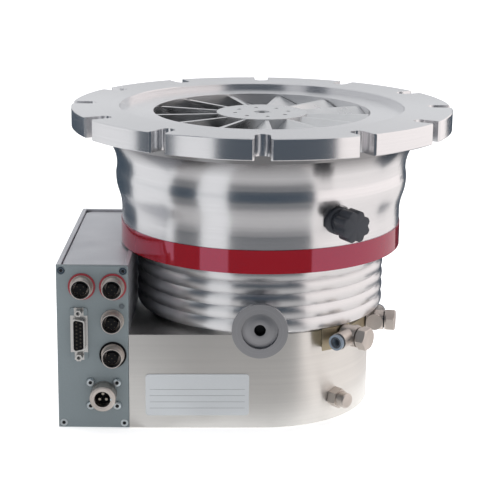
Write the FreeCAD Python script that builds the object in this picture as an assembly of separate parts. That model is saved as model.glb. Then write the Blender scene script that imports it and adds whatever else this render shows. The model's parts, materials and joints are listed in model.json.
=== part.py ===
import FreeCAD, Part
import math
import os

# Turbomolecular pump with a magnetically levitated rotor and an ISO-F DN 200 inlet flange.
# Millimetres. +Z is the rotor axis and points out of the inlet. Z = 0 is the underside of the base.
# The foreline port faces -Y. The electronics box stands on the -X side.

V = FreeCAD.Vector
UP = V(0, 0, 1)
FRONT = V(0, -1, 0)

# Clearances
FIT = 0.05
SLACK = 0.3
BODY_GAP = 0.5

# Inlet flange
TOTAL_HEIGHT = 226.5
FLANGE_DIAMETER = 285.0
FLANGE_THICKNESS = 15.0
FLANGE_EDGE = 0.6
BOLT_CIRCLE = 260.0
SLOT_COUNT = 12
SLOT_WIDTH = 11.0
SLOT_CHAMFER = 1.5
INLET_BORE = 213.0
INLET_RECESS = 4.5

# Bell of the upper housing
NECK_DIAMETER = 240.5
NECK_RADIUS = 30.0
NECK_FLARE = 8.9
WAIST_DIAMETER = 218.2
WAIST_DROP = 28.5
BULGE_RISE = 0.8
BULGE_DROP = 8.0
SKIRT_DIAMETER = 211.0
SKIRT_DROP = 25.0
STACK_BORE = 196.0

# Lower housing with its ribs
BASE_HEIGHT = 72.0
GROOVE_HEIGHT = 4.0
GROOVE_WALL = 1.0
RIB_COUNT = 5
RIB_PITCH = 9.5
RIB_WALL = 12.2
RIB_DEPTH = 1.8
LOWER_FLANGE = 7.5
SPIGOT_HEIGHT = 6.0
LEDGE_WIDTH = 6.0
LEDGE_HEIGHT = 16.0
HOUSING_SCREWS = 12
HOUSING_SCREW_CIRCLE = 203.2
HOUSING_SCREW = 4.0
HOUSING_SCREW_REACH = 10.0

# Colour band around the joint of the housings
BAND_HEIGHT = 17.0
BAND_THICKNESS = 0.6

# Base block
BASE_OVERHANG = 2.5
BASE_FRONT_TURN = 2.0
BASE_CAVITY = 132.0
BASE_EDGE = 0.8
WEB_BOTTOM = 20.0
WEB_TOP = 28.0
WEB_HOLE = 30.0
COVER_DIAMETER = 132.0
COVER_THICKNESS = 4.0
COVER_CAVITY = 100.0
COVER_SCREWS = 6
COVER_SCREW_CIRCLE = 120.0
COVER_SCREW = 4.0

# Seals
CORD = 2.3
CORD_GROOVE = 2.4
COVER_SEAL_DIAMETER = 106.6

# Rotor and stator stages, listed from the inlet down
STAGE_BORE = 164.0
THROAT_STEP = 0.5
TIP_GAP = 2.0
HUB_DROP = 1.2
HUB_DIAMETER = 68.0
ROTOR_BLADE_COUNTS = (13, 18, 22, 26)
ROTOR_BLADE_HEIGHTS = (13.8, 8.0, 7.5, 7.5)
ROTOR_ROOT_ANGLES = (44.0, 38.0, 34.0, 32.0)
ROTOR_TIP_ANGLES = (24.0, 26.0, 24.0, 22.0)
STATOR_BLADE_COUNTS = (20, 22, 24)
STATOR_BLADE_HEIGHTS = (6.5, 6.0, 6.0)
STATOR_ROOT_ANGLE = 42.0
STATOR_TIP_ANGLE = 30.0
STATOR_RIM = 2.0
STATOR_INNER_RING = 3.0
STATOR_SPLIT = 0.2
STAGE_GAP = 1.5
HUB_GAP = 2.0
BLADE_THICKNESS = 1.6
BLADE_DROP = 0.5
BALANCE_HOLES = 8
BALANCE_CIRCLE = 41.0
BALANCE_HOLE = 3.4
BALANCE_DEPTH = 4.0
ROTOR_BOLT_HEAD = 11.0
ROTOR_BOLT_HEAD_HEIGHT = 4.0
ROTOR_BOLT = 6.0
ROTOR_BOLT_REACH = 16.0
ROTOR_BOLT_SOCKET = 5.0
HUB_LID = 7.0

# Molecular drag stage
DRAG_SLEEVE_WALL = 11.35
DRUM_WALL = 4.0
DRUM_WEB = 5.0
DRUM_FOOT_GAP = 11.25
DRAG_GAP = 0.6
DRAG_SLEEVE_DROP = 5.25
DRAG_GROOVES = 6
DRAG_GROOVE_DEPTH = 3.0
DRAG_GROOVE_ANGLE = 25.0
DRAG_GROOVE_START = 30.0

# Shaft, motor and bearings
SHAFT_DIAMETER = 24.0
CARRIER_BORE = 60.0
CARRIER_WALL = 6.0
CARRIER_FLANGE = 92.0
CARRIER_FLOOR = 5.0
CARRIER_TOP_GAP = 6.25
CARRIER_SCREWS = 6
THRUST_MAGNET = 5.5
THRUST_DISC = 5.0
THRUST_DISC_DIAMETER = 54.0
THRUST_BORE = 28.0
BEARING_WIDTH = 7.0
BACKUP_GAP = 0.3
RACE_WALL = 4.2
BALL_DIAMETER = 6.0
BALL_COUNT = 8
RADIAL_MAGNET = 14.0
SLEEVE_WALL = 3.0
AIR_GAP = 0.5
POLE_COUNT = 8
POLE_SLOT = 3.0
STACK_SPACE = 2.5
STACK_END = 11.5

# Foreline port, KF 25
PORT_HEIGHT = 82.0
PORT_REACH = 13.8
PORT_FLANGE_DIAMETER = 40.0
PORT_FLANGE_THICKNESS = 3.2
PORT_TAPER_ANGLE = 15.0
PORT_TUBE_DIAMETER = 28.0
PORT_RECESS_DIAMETER = 26.2
PORT_RECESS_DEPTH = 4.5
PORT_DISH = 5.0
PORT_BORE = 8.0
PORT_SEAT_DEPTH = 2.2
PORT_SPIGOT_DIAMETER = 18.0

# Vent valve
VENT_AZIMUTH = 30.0
VENT_HEIGHT = 160.0
VENT_RECESS_MARGIN = 2.0
VENT_RECESS_REACH = 30.0
VENT_COLLAR_DIAMETER = 20.0
VENT_COLLAR = 6.5
VENT_NECK_DIAMETER = 15.0
VENT_NECK = 5.5
VENT_THREAD = 9.6
VENT_THREAD_REACH = 6.0
VENT_PASSAGE = 5.0
VENT_CHAMBER = 10.4
VENT_CHAMBER_FLOOR = 2.0
VENT_SEAL_THICKNESS = 2.0
VENT_STEM = 4.0
VENT_STEM_HEAD = 7.0
KNOB_DIAMETER = 23.0
KNOB_LENGTH = 13.5
KNOB_LOBES = 8
KNOB_FLUTE = 3.4
KNOB_FLUTE_DEPTH = 1.0
KNOB_EDGE = 1.0
KNOB_SOCKET_DEPTH = 6.0

# Cooling water connections on a brass block
WATER_BLOCK_BOTTOM = 59.0
WATER_BLOCK_CLEARANCE = 0.3
WATER_BLOCK_LEFT = 45.5
WATER_BLOCK_SETBACK = 3.5
WATER_SEAT_DEPTH = 6.5
WATER_FACE_LENGTH = 18.0
WATER_FIRST_PLACE = (6.2, 42.35)
WATER_FIRST_AZIMUTH = 55.0
WATER_SECOND_PLACE = (0.5, 72.2)
WATER_SECOND_AZIMUTH = 80.0
WATER_FIRST_HEIGHT = 68.0
WATER_SECOND_HEIGHT = 67.2
WASHER_DIAMETER = 12.0
WASHER_THICKNESS = 1.0
ELBOW_DIAMETER = 12.4
ELBOW_RING = 12.8
BARREL_LENGTH = 17.8
BARREL_BACK = 8.5
TUBE_DIAMETER = 6.1
COLLAR_DIAMETER = 11.6
COLLAR_REACH = 2.2
COLLAR_DEPTH = 5.0
COLLAR_TRAVEL = 1.2
BOLT_THREAD = 8.0
BOLT_REACH = 3.4
BOLT_HEX = 15.0
BOLT_HEAD = 6.5
BOLT_COLLAR = 1.2

# Sealing gas connection
GAS_AZIMUTH = 41.5
GAS_HEIGHT = 18.0
GAS_HEX = 13.0
GAS_HEX_LENGTH = 7.5
GAS_THREAD = 8.0
GAS_REACH = 7.0
GAS_BORE = 4.0
GAS_PLUG_DIAMETER = 11.4
GAS_PLUG_LENGTH = 7.0
GAS_PLUG_EDGE = 0.8
GAS_PLUG_PIN = 3.8

# Rating plate
PLATE_LENGTH = 75.5
PLATE_HEIGHT = 31.9
PLATE_THICKNESS = 0.4
PLATE_CORNER = 2.5
PLATE_CENTRE = (-47.9, 26.1)

# Electronics box
BOX_LEFT = -146.2
BOX_RIGHT = -94.5
BOX_BACK = 90.4
BOX_BOTTOM = 0.4
BOX_TOP = 123.2
BOX_WALL = 2.5
BOX_RIM = 3.2
BOX_RIM_HEIGHT = 1.6
BOX_LEDGE = 2.0
LID_THICKNESS = 2.0
LID_GROOVE = 0.6
PANEL_THICKNESS = 3.0
PANEL_EDGE = 0.6
PANEL_SCREW_INSET = 3.7
PANEL_SCREW_HEAD = 5.6
PANEL_SCREW = 3.0
BOARD_THICKNESS = 1.6
BOARD_MARGIN = 9.0
BOARD_BOSS_DIAMETER = 7.0
BOARD_BOSS_HEIGHT = 5.0
BOX_SCREW = 4.0
BOX_SCREW_HEIGHTS = (14.0, 58.0)
BOX_SCREW_DEPTHS = (-60.0, 60.0)

# Round sockets on the panel, as (X, Z)
ACCESSORY_A = (-127.8, 107.9)
ACCESSORY_B = (-105.5, 107.9)
GAUGE_PLACE = (-106.0, 82.5)
SERIAL_PLACE = (-106.0, 56.7)
SOCKET_DIAMETER = 14.4
SOCKET_REACH = 9.5
SOCKET_FLANGE_DIAMETER = 16.8
SOCKET_FLANGE = 1.2
SOCKET_BORE = 12.0
SOCKET_BORE_DEPTH = 9.0
SOCKET_BACK_DIAMETER = 14.0
SOCKET_BACK = 7.0
INSERT_DIAMETER = 8.8
INSERT_DROP = 1.2
MARK_RING_DIAMETER = 19.6
MARK_RING_THICKNESS = 0.9

# Remote connector, D-shaped with fifteen contacts
REMOTE_PLACE = (-130.1, 72.5)
REMOTE_FLANGE = (12.5, 39.2)
REMOTE_FLANGE_THICKNESS = 1.0
REMOTE_SHELL = (9.0, 25.4)
REMOTE_SHELL_WALL = 0.9
REMOTE_SHELL_REACH = 5.6
REMOTE_SHELL_TAPER = 1.6
REMOTE_INSERT_DROP = 0.5
REMOTE_BACK = 6.0
JACK_SPACING = 33.3
JACK_HEX = 4.8
JACK_REACH = 5.0
JACK_THREAD = 2.8

# Supply connector
SUPPLY_PLACE = (-112.8, 26.9)
SUPPLY_DIAMETER = 18.6
SUPPLY_REACH = 13.0
SUPPLY_BORE = 11.8
SUPPLY_BORE_DEPTH = 11.0
SUPPLY_PINS = 3
SUPPLY_PIN = 2.0
SUPPLY_PIN_CIRCLE = 5.6
SUPPLY_PIN_DROP = 4.6
SUPPLY_FLANGE = 25.0
SUPPLY_FLANGE_THICKNESS = 2.0
SUPPLY_SCREW_SPACING = (19.3, 17.8)
SUPPLY_SCREW_HEAD = 6.2
SUPPLY_SCREW = 3.0
SUPPLY_SCREW_HEAD_HEIGHT = 2.2

# Status light
LIGHT_PLACE = (-99.2, 93.4)
LIGHT_DIAMETER = 3.6
LIGHT_REACH = 0.6

# Sizes and levels that follow
BASE_RADIUS = STAGE_BORE / 2 + BASE_OVERHANG
THROAT_DIAMETER = STAGE_BORE - 2 * THROAT_STEP
ROTOR_DIAMETER = STAGE_BORE - 2 * TIP_GAP
DRUM_DIAMETER = STAGE_BORE - 2 * (FIT + DRAG_SLEEVE_WALL + DRAG_GAP)
LEDGE_BORE = STAGE_BORE - 2 * LEDGE_WIDTH
GROOVE_DIAMETER = STAGE_BORE + 2 * GROOVE_WALL
RIB_DIAMETER = STAGE_BORE + 2 * RIB_WALL
PORT_FACE = RIB_DIAMETER / 2 + PORT_REACH
PORT_SEAT = RIB_DIAMETER / 2 - PORT_SEAT_DEPTH
PORT_SPIGOT_END = BASE_RADIUS
VENT_SEAT = SKIRT_DIAMETER / 2
WATER_BLOCK_FRONT = BASE_RADIUS - WATER_BLOCK_SETBACK
WATER_SEAT = 2 * (BASE_RADIUS - WATER_SEAT_DEPTH)
FLANGE_BOTTOM = TOTAL_HEIGHT - FLANGE_THICKNESS
INLET_FLOOR = TOTAL_HEIGHT - INLET_RECESS
RIBS_BOTTOM = BASE_HEIGHT + GROOVE_HEIGHT
RIBS_TOP = RIBS_BOTTOM + RIB_COUNT * RIB_PITCH
SPLIT = RIBS_TOP + LOWER_FLANGE
SPIGOT_TOP = SPLIT + SPIGOT_HEIGHT
LEDGE = BASE_HEIGHT + LEDGE_HEIGHT
HUB_TOP = INLET_FLOOR - HUB_DROP
FRONT_TURN = math.radians(BASE_FRONT_TURN)
PANEL_FACE = BOX_RIGHT * math.tan(FRONT_TURN) - BASE_RADIUS / math.cos(FRONT_TURN)
PANEL_BACK = PANEL_FACE + PANEL_THICKNESS
CARRIER_SEAT = WEB_TOP + CARRIER_FLOOR


def rotor_levels():
    """Top and bottom of each rotor and stator stage, from the inlet down."""
    rotors = []
    stators = []
    top = HUB_TOP - BLADE_DROP
    for number, height in enumerate(ROTOR_BLADE_HEIGHTS):
        rotors.append((top, top - height))
        top = top - height - STAGE_GAP
        if number < len(STATOR_BLADE_HEIGHTS):
            depth = STATOR_BLADE_HEIGHTS[number]
            stators.append((top, top - depth))
            top = top - depth - STAGE_GAP
    return rotors, stators


ROTOR_LEVELS, STATOR_LEVELS = rotor_levels()
SHOULDER = STATOR_LEVELS[0][0]
DRUM_TOP = ROTOR_LEVELS[-1][1] - STAGE_GAP / 2
DRUM_LENGTH = DRUM_TOP - LEDGE - DRUM_FOOT_GAP
DRAG_SLEEVE_LENGTH = DRUM_TOP - DRAG_SLEEVE_DROP - LEDGE
CARRIER_TOP = DRUM_TOP - DRUM_WEB - CARRIER_TOP_GAP


def polar(radius, degrees, height=0.0):
    """Point at a radius and at an angle counted from +X."""
    angle = math.radians(degrees)
    return V(radius * math.cos(angle), radius * math.sin(angle), height)


def outward(azimuth):
    """Horizontal direction at an azimuth counted from -Y towards +X."""
    angle = math.radians(azimuth)
    return V(math.sin(angle), -math.cos(angle), 0)


def disc(diameter, low, high):
    return Part.makeCylinder(diameter / 2, high - low, V(0, 0, low))


def ring(inner, outer, low, high):
    return disc(outer, low, high).cut(disc(inner, low - 1, high + 1))


def block(x_range, y_range, z_range):
    corner = V(x_range[0], y_range[0], z_range[0])
    return Part.makeBox(
        x_range[1] - x_range[0], y_range[1] - y_range[0], z_range[1] - z_range[0], corner
    )


def hexagon(across_flats, low, high):
    """Hexagonal bar along Z."""
    radius = across_flats / math.sqrt(3)
    corners = [polar(radius, 60 * number, low) for number in range(7)]
    return Part.Face(Part.makePolygon(corners)).extrude(V(0, 0, high - low))


def turned(start, *steps):
    """Solid of revolution about Z. Points are (radius, height). A step is a point, or a pair of
    points for an arc through the first to the second."""
    edges = []
    here = V(start[0], 0, start[1])
    for step in steps + (start,):
        if isinstance(step[0], tuple):
            middle = V(step[0][0], 0, step[0][1])
            there = V(step[1][0], 0, step[1][1])
            edges.append(Part.Arc(here, middle, there).toShape())
        else:
            there = V(step[0], 0, step[1])
            edges.append(Part.makeLine(here, there))
        here = there
    return Part.Face(Part.Wire(edges)).revolve(V(0, 0, 0), UP, 360)


def aimed(shape, origin, direction):
    """Moves a shape made along +Z so that it starts at origin and points along direction."""
    moved = shape.copy()
    moved.Placement = FreeCAD.Placement(origin, FreeCAD.Rotation(UP, direction)).multiply(shape.Placement)
    return moved


def spread(shape, count, start=0.0, sweep=360.0):
    """Copies of a shape, turned about Z in equal steps."""
    copies = []
    for number in range(count):
        copy = shape.copy()
        copy.rotate(V(0, 0, 0), UP, start + number * sweep / count)
        copies.append(copy)
    return copies


def cord_ring(diameter, height):
    return Part.makeTorus(diameter / 2, CORD / 2, V(0, 0, height))


def seal_rings():
    """O-rings of the housing joint and of the base cover."""
    housing = cord_ring(STACK_BORE - CORD_GROOVE - 2 * FIT, SPLIT + SPIGOT_HEIGHT / 2)
    cover = cord_ring(COVER_SEAL_DIAMETER, COVER_THICKNESS + CORD_GROOVE / 2)
    return group([housing, cover])


def save(name, shape):
    shape.exportStep(f"parts/{name}.step")


def group(solids):
    return Part.makeCompound(solids)


# Housings

def bell_outline():
    """Outer profile of the bell, from the flange's underside down to the split."""
    neck = NECK_DIAMETER / 2
    waist = WAIST_DIAMETER / 2
    skirt = SKIRT_DIAMETER / 2
    waist_z = FLANGE_BOTTOM - WAIST_DROP
    flare_z = waist_z + math.sqrt(NECK_RADIUS**2 - (NECK_RADIUS - NECK_FLARE) ** 2)
    half_turn = math.radians(22)
    arc_middle = (
        waist + NECK_RADIUS * (1 - math.cos(half_turn)),
        waist_z + NECK_RADIUS * math.sin(half_turn),
    )
    steps = [(neck, FLANGE_BOTTOM), (waist + NECK_FLARE, flare_z), (arc_middle, (waist, waist_z))]
    bulge_z = waist_z - BULGE_DROP
    steps += wave((waist, waist_z), (waist + BULGE_RISE, bulge_z))
    steps += wave((waist + BULGE_RISE, bulge_z), (skirt, bulge_z - SKIRT_DROP))
    return steps


def wave(start, end):
    """Two equal arcs that join start and end, upright at both."""
    middle = ((start[0] + end[0]) / 2, (start[1] + end[1]) / 2)
    half_step = abs(end[0] - start[0]) / 2
    half_drop = abs(end[1] - start[1]) / 2
    radius = (half_step**2 + half_drop**2) / (2 * half_step)
    turn = math.asin(half_drop / radius) / 2
    rise = radius * (1 - math.cos(turn)) * (1 if end[0] > start[0] else -1)
    drop = radius * math.sin(turn)
    first = (start[0] + rise, start[1] - drop)
    second = (end[0] - rise, end[1] + drop)
    return [(first, middle), (second, end)]


def inlet_slot():
    """Open bolt slot of the flange with a round inner end and a chamfered mouth, on the -Y side."""
    low = FLANGE_BOTTOM - 1
    depth = FLANGE_THICKNESS + 2
    centre = BOLT_CIRCLE / 2
    edge = FLANGE_DIAMETER / 2
    half = SLOT_WIDTH / 2
    wide = half + SLOT_CHAMFER
    end = Part.makeCylinder(half, depth, V(0, -centre, low))
    corners = [
        (-half, -centre), (-half, -edge + SLOT_CHAMFER), (-wide, -edge), (-wide, -edge - 2),
        (wide, -edge - 2), (wide, -edge), (half, -edge + SLOT_CHAMFER), (half, -centre),
    ]
    points = [V(x, y, low) for x, y in corners + corners[:1]]
    return end.fuse(Part.Face(Part.makePolygon(points)).extrude(V(0, 0, depth)))


def vent_origin(reach):
    direction = outward(VENT_AZIMUTH)
    return V(direction.x * reach, direction.y * reach, VENT_HEIGHT)


def upper_housing():
    edge = FLANGE_DIAMETER / 2
    bore = INLET_BORE / 2
    throat = THROAT_DIAMETER / 2
    stack = STACK_BORE / 2
    outline = [
        (stack, SPLIT), (stack, SHOULDER), (throat, SHOULDER), (throat, INLET_FLOOR),
        (bore, INLET_FLOOR), (bore, TOTAL_HEIGHT - FLANGE_EDGE), (bore + FLANGE_EDGE, TOTAL_HEIGHT),
        (edge - FLANGE_EDGE, TOTAL_HEIGHT), (edge, TOTAL_HEIGHT - FLANGE_EDGE),
        (edge, FLANGE_BOTTOM + FLANGE_EDGE), (edge - FLANGE_EDGE, FLANGE_BOTTOM),
    ]
    body = turned(*outline, *bell_outline(), (SKIRT_DIAMETER / 2, SPLIT))
    slots = spread(inlet_slot(), SLOT_COUNT)
    seat = vent_place(disc(VENT_COLLAR_DIAMETER + VENT_RECESS_MARGIN, 0, VENT_RECESS_REACH))
    hole = vent_place(disc(VENT_THREAD + 2 * FIT, -VENT_RECESS_REACH, VENT_RECESS_REACH))
    blind = disc(HOUSING_SCREW + 2 * FIT, SPLIT - 1, SPLIT + HOUSING_SCREW_REACH + SLACK)
    blind.translate(V(0, -HOUSING_SCREW_CIRCLE / 2, 0))
    return body.cut(slots + [seat, hole] + spread(blind, HOUSING_SCREWS, 360 / HOUSING_SCREWS / 2))


def lower_housing():
    crest = RIB_DIAMETER / 2
    valley = crest - RIB_DEPTH
    skirt = SKIRT_DIAMETER / 2
    spigot = STACK_BORE / 2 - FIT
    ribs = []
    for number in range(RIB_COUNT):
        low = RIBS_BOTTOM + number * RIB_PITCH
        ribs.append(((crest, low + RIB_PITCH / 2), (valley, low + RIB_PITCH)))
    groove_low = SPLIT + (SPIGOT_HEIGHT - CORD_GROOVE) / 2
    body = turned(
        (LEDGE_BORE / 2, BASE_HEIGHT), (GROOVE_DIAMETER / 2, BASE_HEIGHT),
        (GROOVE_DIAMETER / 2, RIBS_BOTTOM), (valley, RIBS_BOTTOM), *ribs,
        (skirt, RIBS_TOP), (skirt, SPLIT), (spigot, SPLIT),
        (spigot, groove_low), (spigot - CORD_GROOVE, groove_low),
        (spigot - CORD_GROOVE, groove_low + CORD_GROOVE), (spigot, groove_low + CORD_GROOVE),
        (spigot, SPIGOT_TOP), (STAGE_BORE / 2, SPIGOT_TOP), (STAGE_BORE / 2, LEDGE),
        (LEDGE_BORE / 2, LEDGE),
    )
    port_pocket = aimed(disc(PORT_TUBE_DIAMETER + 2 * FIT, PORT_SEAT, PORT_FACE), port_origin(0), FRONT)
    port_hole = aimed(
        disc(PORT_SPIGOT_DIAMETER + 2 * FIT, PORT_SPIGOT_END - 20, PORT_FACE), port_origin(0), FRONT
    )
    head = housing_screw_head() + SLACK
    sunk = disc(head, RIBS_TOP - 1, RIBS_TOP + HOUSING_SCREW)
    shank = disc(HOUSING_SCREW + 2 * FIT, RIBS_TOP, SPLIT + 1)
    pocket = sunk.fuse(shank)
    pocket.translate(V(0, -HOUSING_SCREW_CIRCLE / 2, 0))
    screws = spread(pocket, HOUSING_SCREWS, 360 / HOUSING_SCREWS / 2)
    return body.cut([port_pocket, port_hole] + screws)


def housing_screw_head():
    return 1.6 * HOUSING_SCREW


def housing_screws():
    """Socket head screws that hold the lower housing's flange to the upper housing."""
    head = disc(housing_screw_head(), RIBS_TOP, RIBS_TOP + HOUSING_SCREW)
    shank = disc(HOUSING_SCREW, RIBS_TOP, SPLIT + HOUSING_SCREW_REACH)
    socket = hexagon(HOUSING_SCREW * 0.75, RIBS_TOP - 1, RIBS_TOP + HOUSING_SCREW / 2)
    screw = head.fuse(shank).cut(socket)
    screw.translate(V(0, -HOUSING_SCREW_CIRCLE / 2, 0))
    return group(spread(screw, HOUSING_SCREWS, 360 / HOUSING_SCREWS / 2))


def color_band():
    inner = SKIRT_DIAMETER + 2 * FIT
    return ring(inner, inner + 2 * BAND_THICKNESS, RIBS_TOP, RIBS_TOP + BAND_HEIGHT)


# Base

def base_outline():
    """Plan of the base: flat front, back and left side, round on the right. The front runs a little
    outward to the left, up to the panel."""
    radius = BASE_RADIUS
    corner = V(BOX_RIGHT, PANEL_FACE, 0)
    tangent = outward(BASE_FRONT_TURN) * radius
    front = Part.makeLine(corner, tangent)
    round_end = Part.Arc(tangent, V(radius, 0, 0), V(0, radius, 0)).toShape()
    back = Part.makeLine(V(0, radius, 0), V(BOX_RIGHT, radius, 0))
    side = Part.makeLine(V(BOX_RIGHT, radius, 0), corner)
    return Part.Face(Part.Wire([front, round_end, back, side]))


def base_body():
    body = base_outline().extrude(V(0, 0, BASE_HEIGHT))
    bottom_edges = [e for e in body.Edges if e.BoundBox.ZMax < 0.001 and e.BoundBox.XMax > BOX_RIGHT + 1]
    body = body.makeChamfer(BASE_EDGE, bottom_edges)
    cuts = [
        disc(COVER_DIAMETER + 2 * SLACK, -1, COVER_THICKNESS),
        disc(COVER_CAVITY, 0, WEB_BOTTOM),
        disc(WEB_HOLE, 0, BASE_HEIGHT),
        disc(BASE_CAVITY, WEB_TOP, BASE_HEIGHT + 1),
        ring(COVER_SEAL_DIAMETER - CORD_GROOVE, COVER_SEAL_DIAMETER + CORD_GROOVE,
             COVER_THICKNESS - 1, COVER_THICKNESS + CORD_GROOVE),
    ]
    cuts += spread(cover_screw_place(disc(COVER_SCREW + 2 * FIT, 0, cover_screw_end() + SLACK)), COVER_SCREWS)
    cuts += spread(carrier_screw_place(disc(COVER_SCREW + 2 * FIT, carrier_screw_end() - SLACK, WEB_TOP + 1)),
                   CARRIER_SCREWS)
    cuts.append(gas_place(disc(GAS_THREAD + 2 * FIT, -GAS_REACH - SLACK, 5)))
    for y in BOX_SCREW_DEPTHS:
        for z in BOX_SCREW_HEIGHTS:
            cuts.append(aimed(disc(BOX_SCREW + 2 * FIT, -1, 10 + SLACK), V(BOX_RIGHT, y, z), V(1, 0, 0)))
    return body.cut(cuts).cut(water_seat())


def water_seat():
    """Pocket in the round side that takes the brass block."""
    reach = 2 * BASE_RADIUS
    pocket = block((WATER_BLOCK_LEFT - FIT, reach), (-reach, water_corners()[-1].y + FIT),
                   (WATER_BLOCK_BOTTOM, BASE_HEIGHT + 1))
    return pocket.cut(disc(WATER_SEAT, 0, BASE_HEIGHT + 2))


def cover_screw_place(shape):
    shape.translate(V(COVER_SCREW_CIRCLE / 2, 0, 0))
    return shape


def cover_screw_end():
    return COVER_THICKNESS + 2 * COVER_SCREW


def base_cover():
    plate = disc(COVER_DIAMETER, 0, COVER_THICKNESS)
    sunk = disc(2 * COVER_SCREW, -1, COVER_THICKNESS - 1.5).fuse(
        disc(COVER_SCREW + 2 * SLACK, 0, COVER_THICKNESS + 1)
    )
    return plate.cut(spread(cover_screw_place(sunk), COVER_SCREWS))


def base_cover_screws():
    low = COVER_THICKNESS - 1.5 - COVER_SCREW / 2
    head = disc(2 * COVER_SCREW - SLACK, low, COVER_THICKNESS - 1.5)
    socket = hexagon(COVER_SCREW * 0.6, low - 1, low + 1)
    screw = head.fuse(disc(COVER_SCREW, low, cover_screw_end())).cut(socket)
    return spread(cover_screw_place(screw), COVER_SCREWS)


def rating_plate():
    """Plate on the base's flat front. Its place is counted along the front and upward."""
    length, height = PLATE_LENGTH, PLATE_HEIGHT
    plate = Part.makeBox(length, PLATE_THICKNESS, height,
                         V(PLATE_CENTRE[0] - length / 2, -BASE_RADIUS - PLATE_THICKNESS,
                           PLATE_CENTRE[1] - height / 2))
    upright = [e for e in plate.Edges if e.BoundBox.YLength > PLATE_THICKNESS / 2]
    plate = plate.makeFillet(PLATE_CORNER, upright)
    plate.rotate(V(0, 0, 0), UP, BASE_FRONT_TURN)
    return plate


# Foreline port

def port_origin(reach):
    return V(0, -reach, PORT_HEIGHT)


def foreline_port():
    """Small flange with its clamp taper, made along +Z with the face at the far end."""
    face = PORT_FACE
    flange = PORT_FLANGE_DIAMETER / 2
    tube = PORT_TUBE_DIAMETER / 2
    back = face - PORT_FLANGE_THICKNESS
    taper = back - (flange - tube) * math.tan(math.radians(PORT_TAPER_ANGLE))
    recess = PORT_RECESS_DIAMETER / 2
    floor = face - PORT_RECESS_DEPTH
    bore = PORT_BORE / 2
    spigot = PORT_SPIGOT_DIAMETER / 2
    body = turned(
        (bore, PORT_SPIGOT_END), (spigot, PORT_SPIGOT_END), (spigot, PORT_SEAT), (tube, PORT_SEAT),
        (tube, taper), (flange, back), (flange, face), (recess, face), (recess, floor),
        (recess - 1.5, floor), ((recess * 0.5, floor - PORT_DISH * 0.75), (bore, floor - PORT_DISH)),
    )
    return aimed(body, port_origin(0), FRONT)


# Vent valve, made along +Z from its seat on the bell

def vent_place(shape):
    return aimed(shape, vent_origin(VENT_SEAT), outward(VENT_AZIMUTH))


def vent_collar():
    top = VENT_COLLAR + VENT_NECK
    body = turned(
        (VENT_PASSAGE / 2, -VENT_THREAD_REACH), (VENT_THREAD / 2, -VENT_THREAD_REACH),
        (VENT_THREAD / 2, 0), (VENT_COLLAR_DIAMETER / 2, 0),
        (VENT_COLLAR_DIAMETER / 2, VENT_COLLAR - 1), (VENT_COLLAR_DIAMETER / 2 - 1, VENT_COLLAR),
        (VENT_NECK_DIAMETER / 2, VENT_COLLAR), (VENT_NECK_DIAMETER / 2, top),
        (VENT_CHAMBER / 2, top), (VENT_CHAMBER / 2, VENT_CHAMBER_FLOOR),
        (VENT_PASSAGE / 2, VENT_CHAMBER_FLOOR),
    )
    return vent_place(body)


def vent_seal():
    low = VENT_CHAMBER_FLOOR + FIT
    return vent_place(disc(VENT_CHAMBER - 2 * SLACK, low, low + VENT_SEAL_THICKNESS))


def vent_stem():
    low = VENT_CHAMBER_FLOOR + VENT_SEAL_THICKNESS + 2 * FIT
    top = knob_bottom() + KNOB_SOCKET_DEPTH - FIT
    return vent_place(disc(VENT_STEM_HEAD, low, low + 2).fuse(disc(VENT_STEM, low, top)))


def knob_bottom():
    return VENT_COLLAR + VENT_NECK + BODY_GAP


def vent_knob():
    """Star knob: a round knob with a ring of shallow flutes."""
    low = knob_bottom()
    top = low + KNOB_LENGTH
    radius = KNOB_DIAMETER / 2
    knob = turned(
        (0, low), (radius - KNOB_EDGE, low), (radius, low + KNOB_EDGE),
        (radius, top - KNOB_EDGE), (radius - KNOB_EDGE, top), (0, top),
    )
    flute = Part.makeCylinder(KNOB_FLUTE, KNOB_LENGTH + 2,
                              V(radius + KNOB_FLUTE - KNOB_FLUTE_DEPTH, 0, low - 1))
    socket = disc(VENT_STEM + 2 * FIT, low - 1, low + KNOB_SOCKET_DEPTH)
    return vent_place(knob.cut(spread(flute, KNOB_LOBES) + [socket]))


# Cooling water connections. Each fitting is made along +Z from the block's face.

def water_places():
    """Face point and outward direction of the two fittings. A place is the face point's distance
    from the base's round side, and its azimuth."""
    first = outward(WATER_FIRST_PLACE[1]) * (BASE_RADIUS + WATER_FIRST_PLACE[0])
    second = outward(WATER_SECOND_PLACE[1]) * (BASE_RADIUS + WATER_SECOND_PLACE[0])
    return [
        (first + UP * WATER_FIRST_HEIGHT, WATER_FIRST_AZIMUTH),
        (second + UP * WATER_SECOND_HEIGHT, WATER_SECOND_AZIMUTH),
    ]


def water_corners():
    """Plan of the block's outer side, from its front left corner to its rear end."""
    corners = [V(WATER_BLOCK_LEFT, -WATER_BLOCK_FRONT, 0)]
    for face, azimuth in water_places():
        along = V(math.cos(math.radians(azimuth)), math.sin(math.radians(azimuth)), 0)
        half = WATER_FACE_LENGTH / 2
        flat = V(face.x, face.y, 0)
        corners += [flat - along * half, flat + along * half]
    return corners


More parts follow.
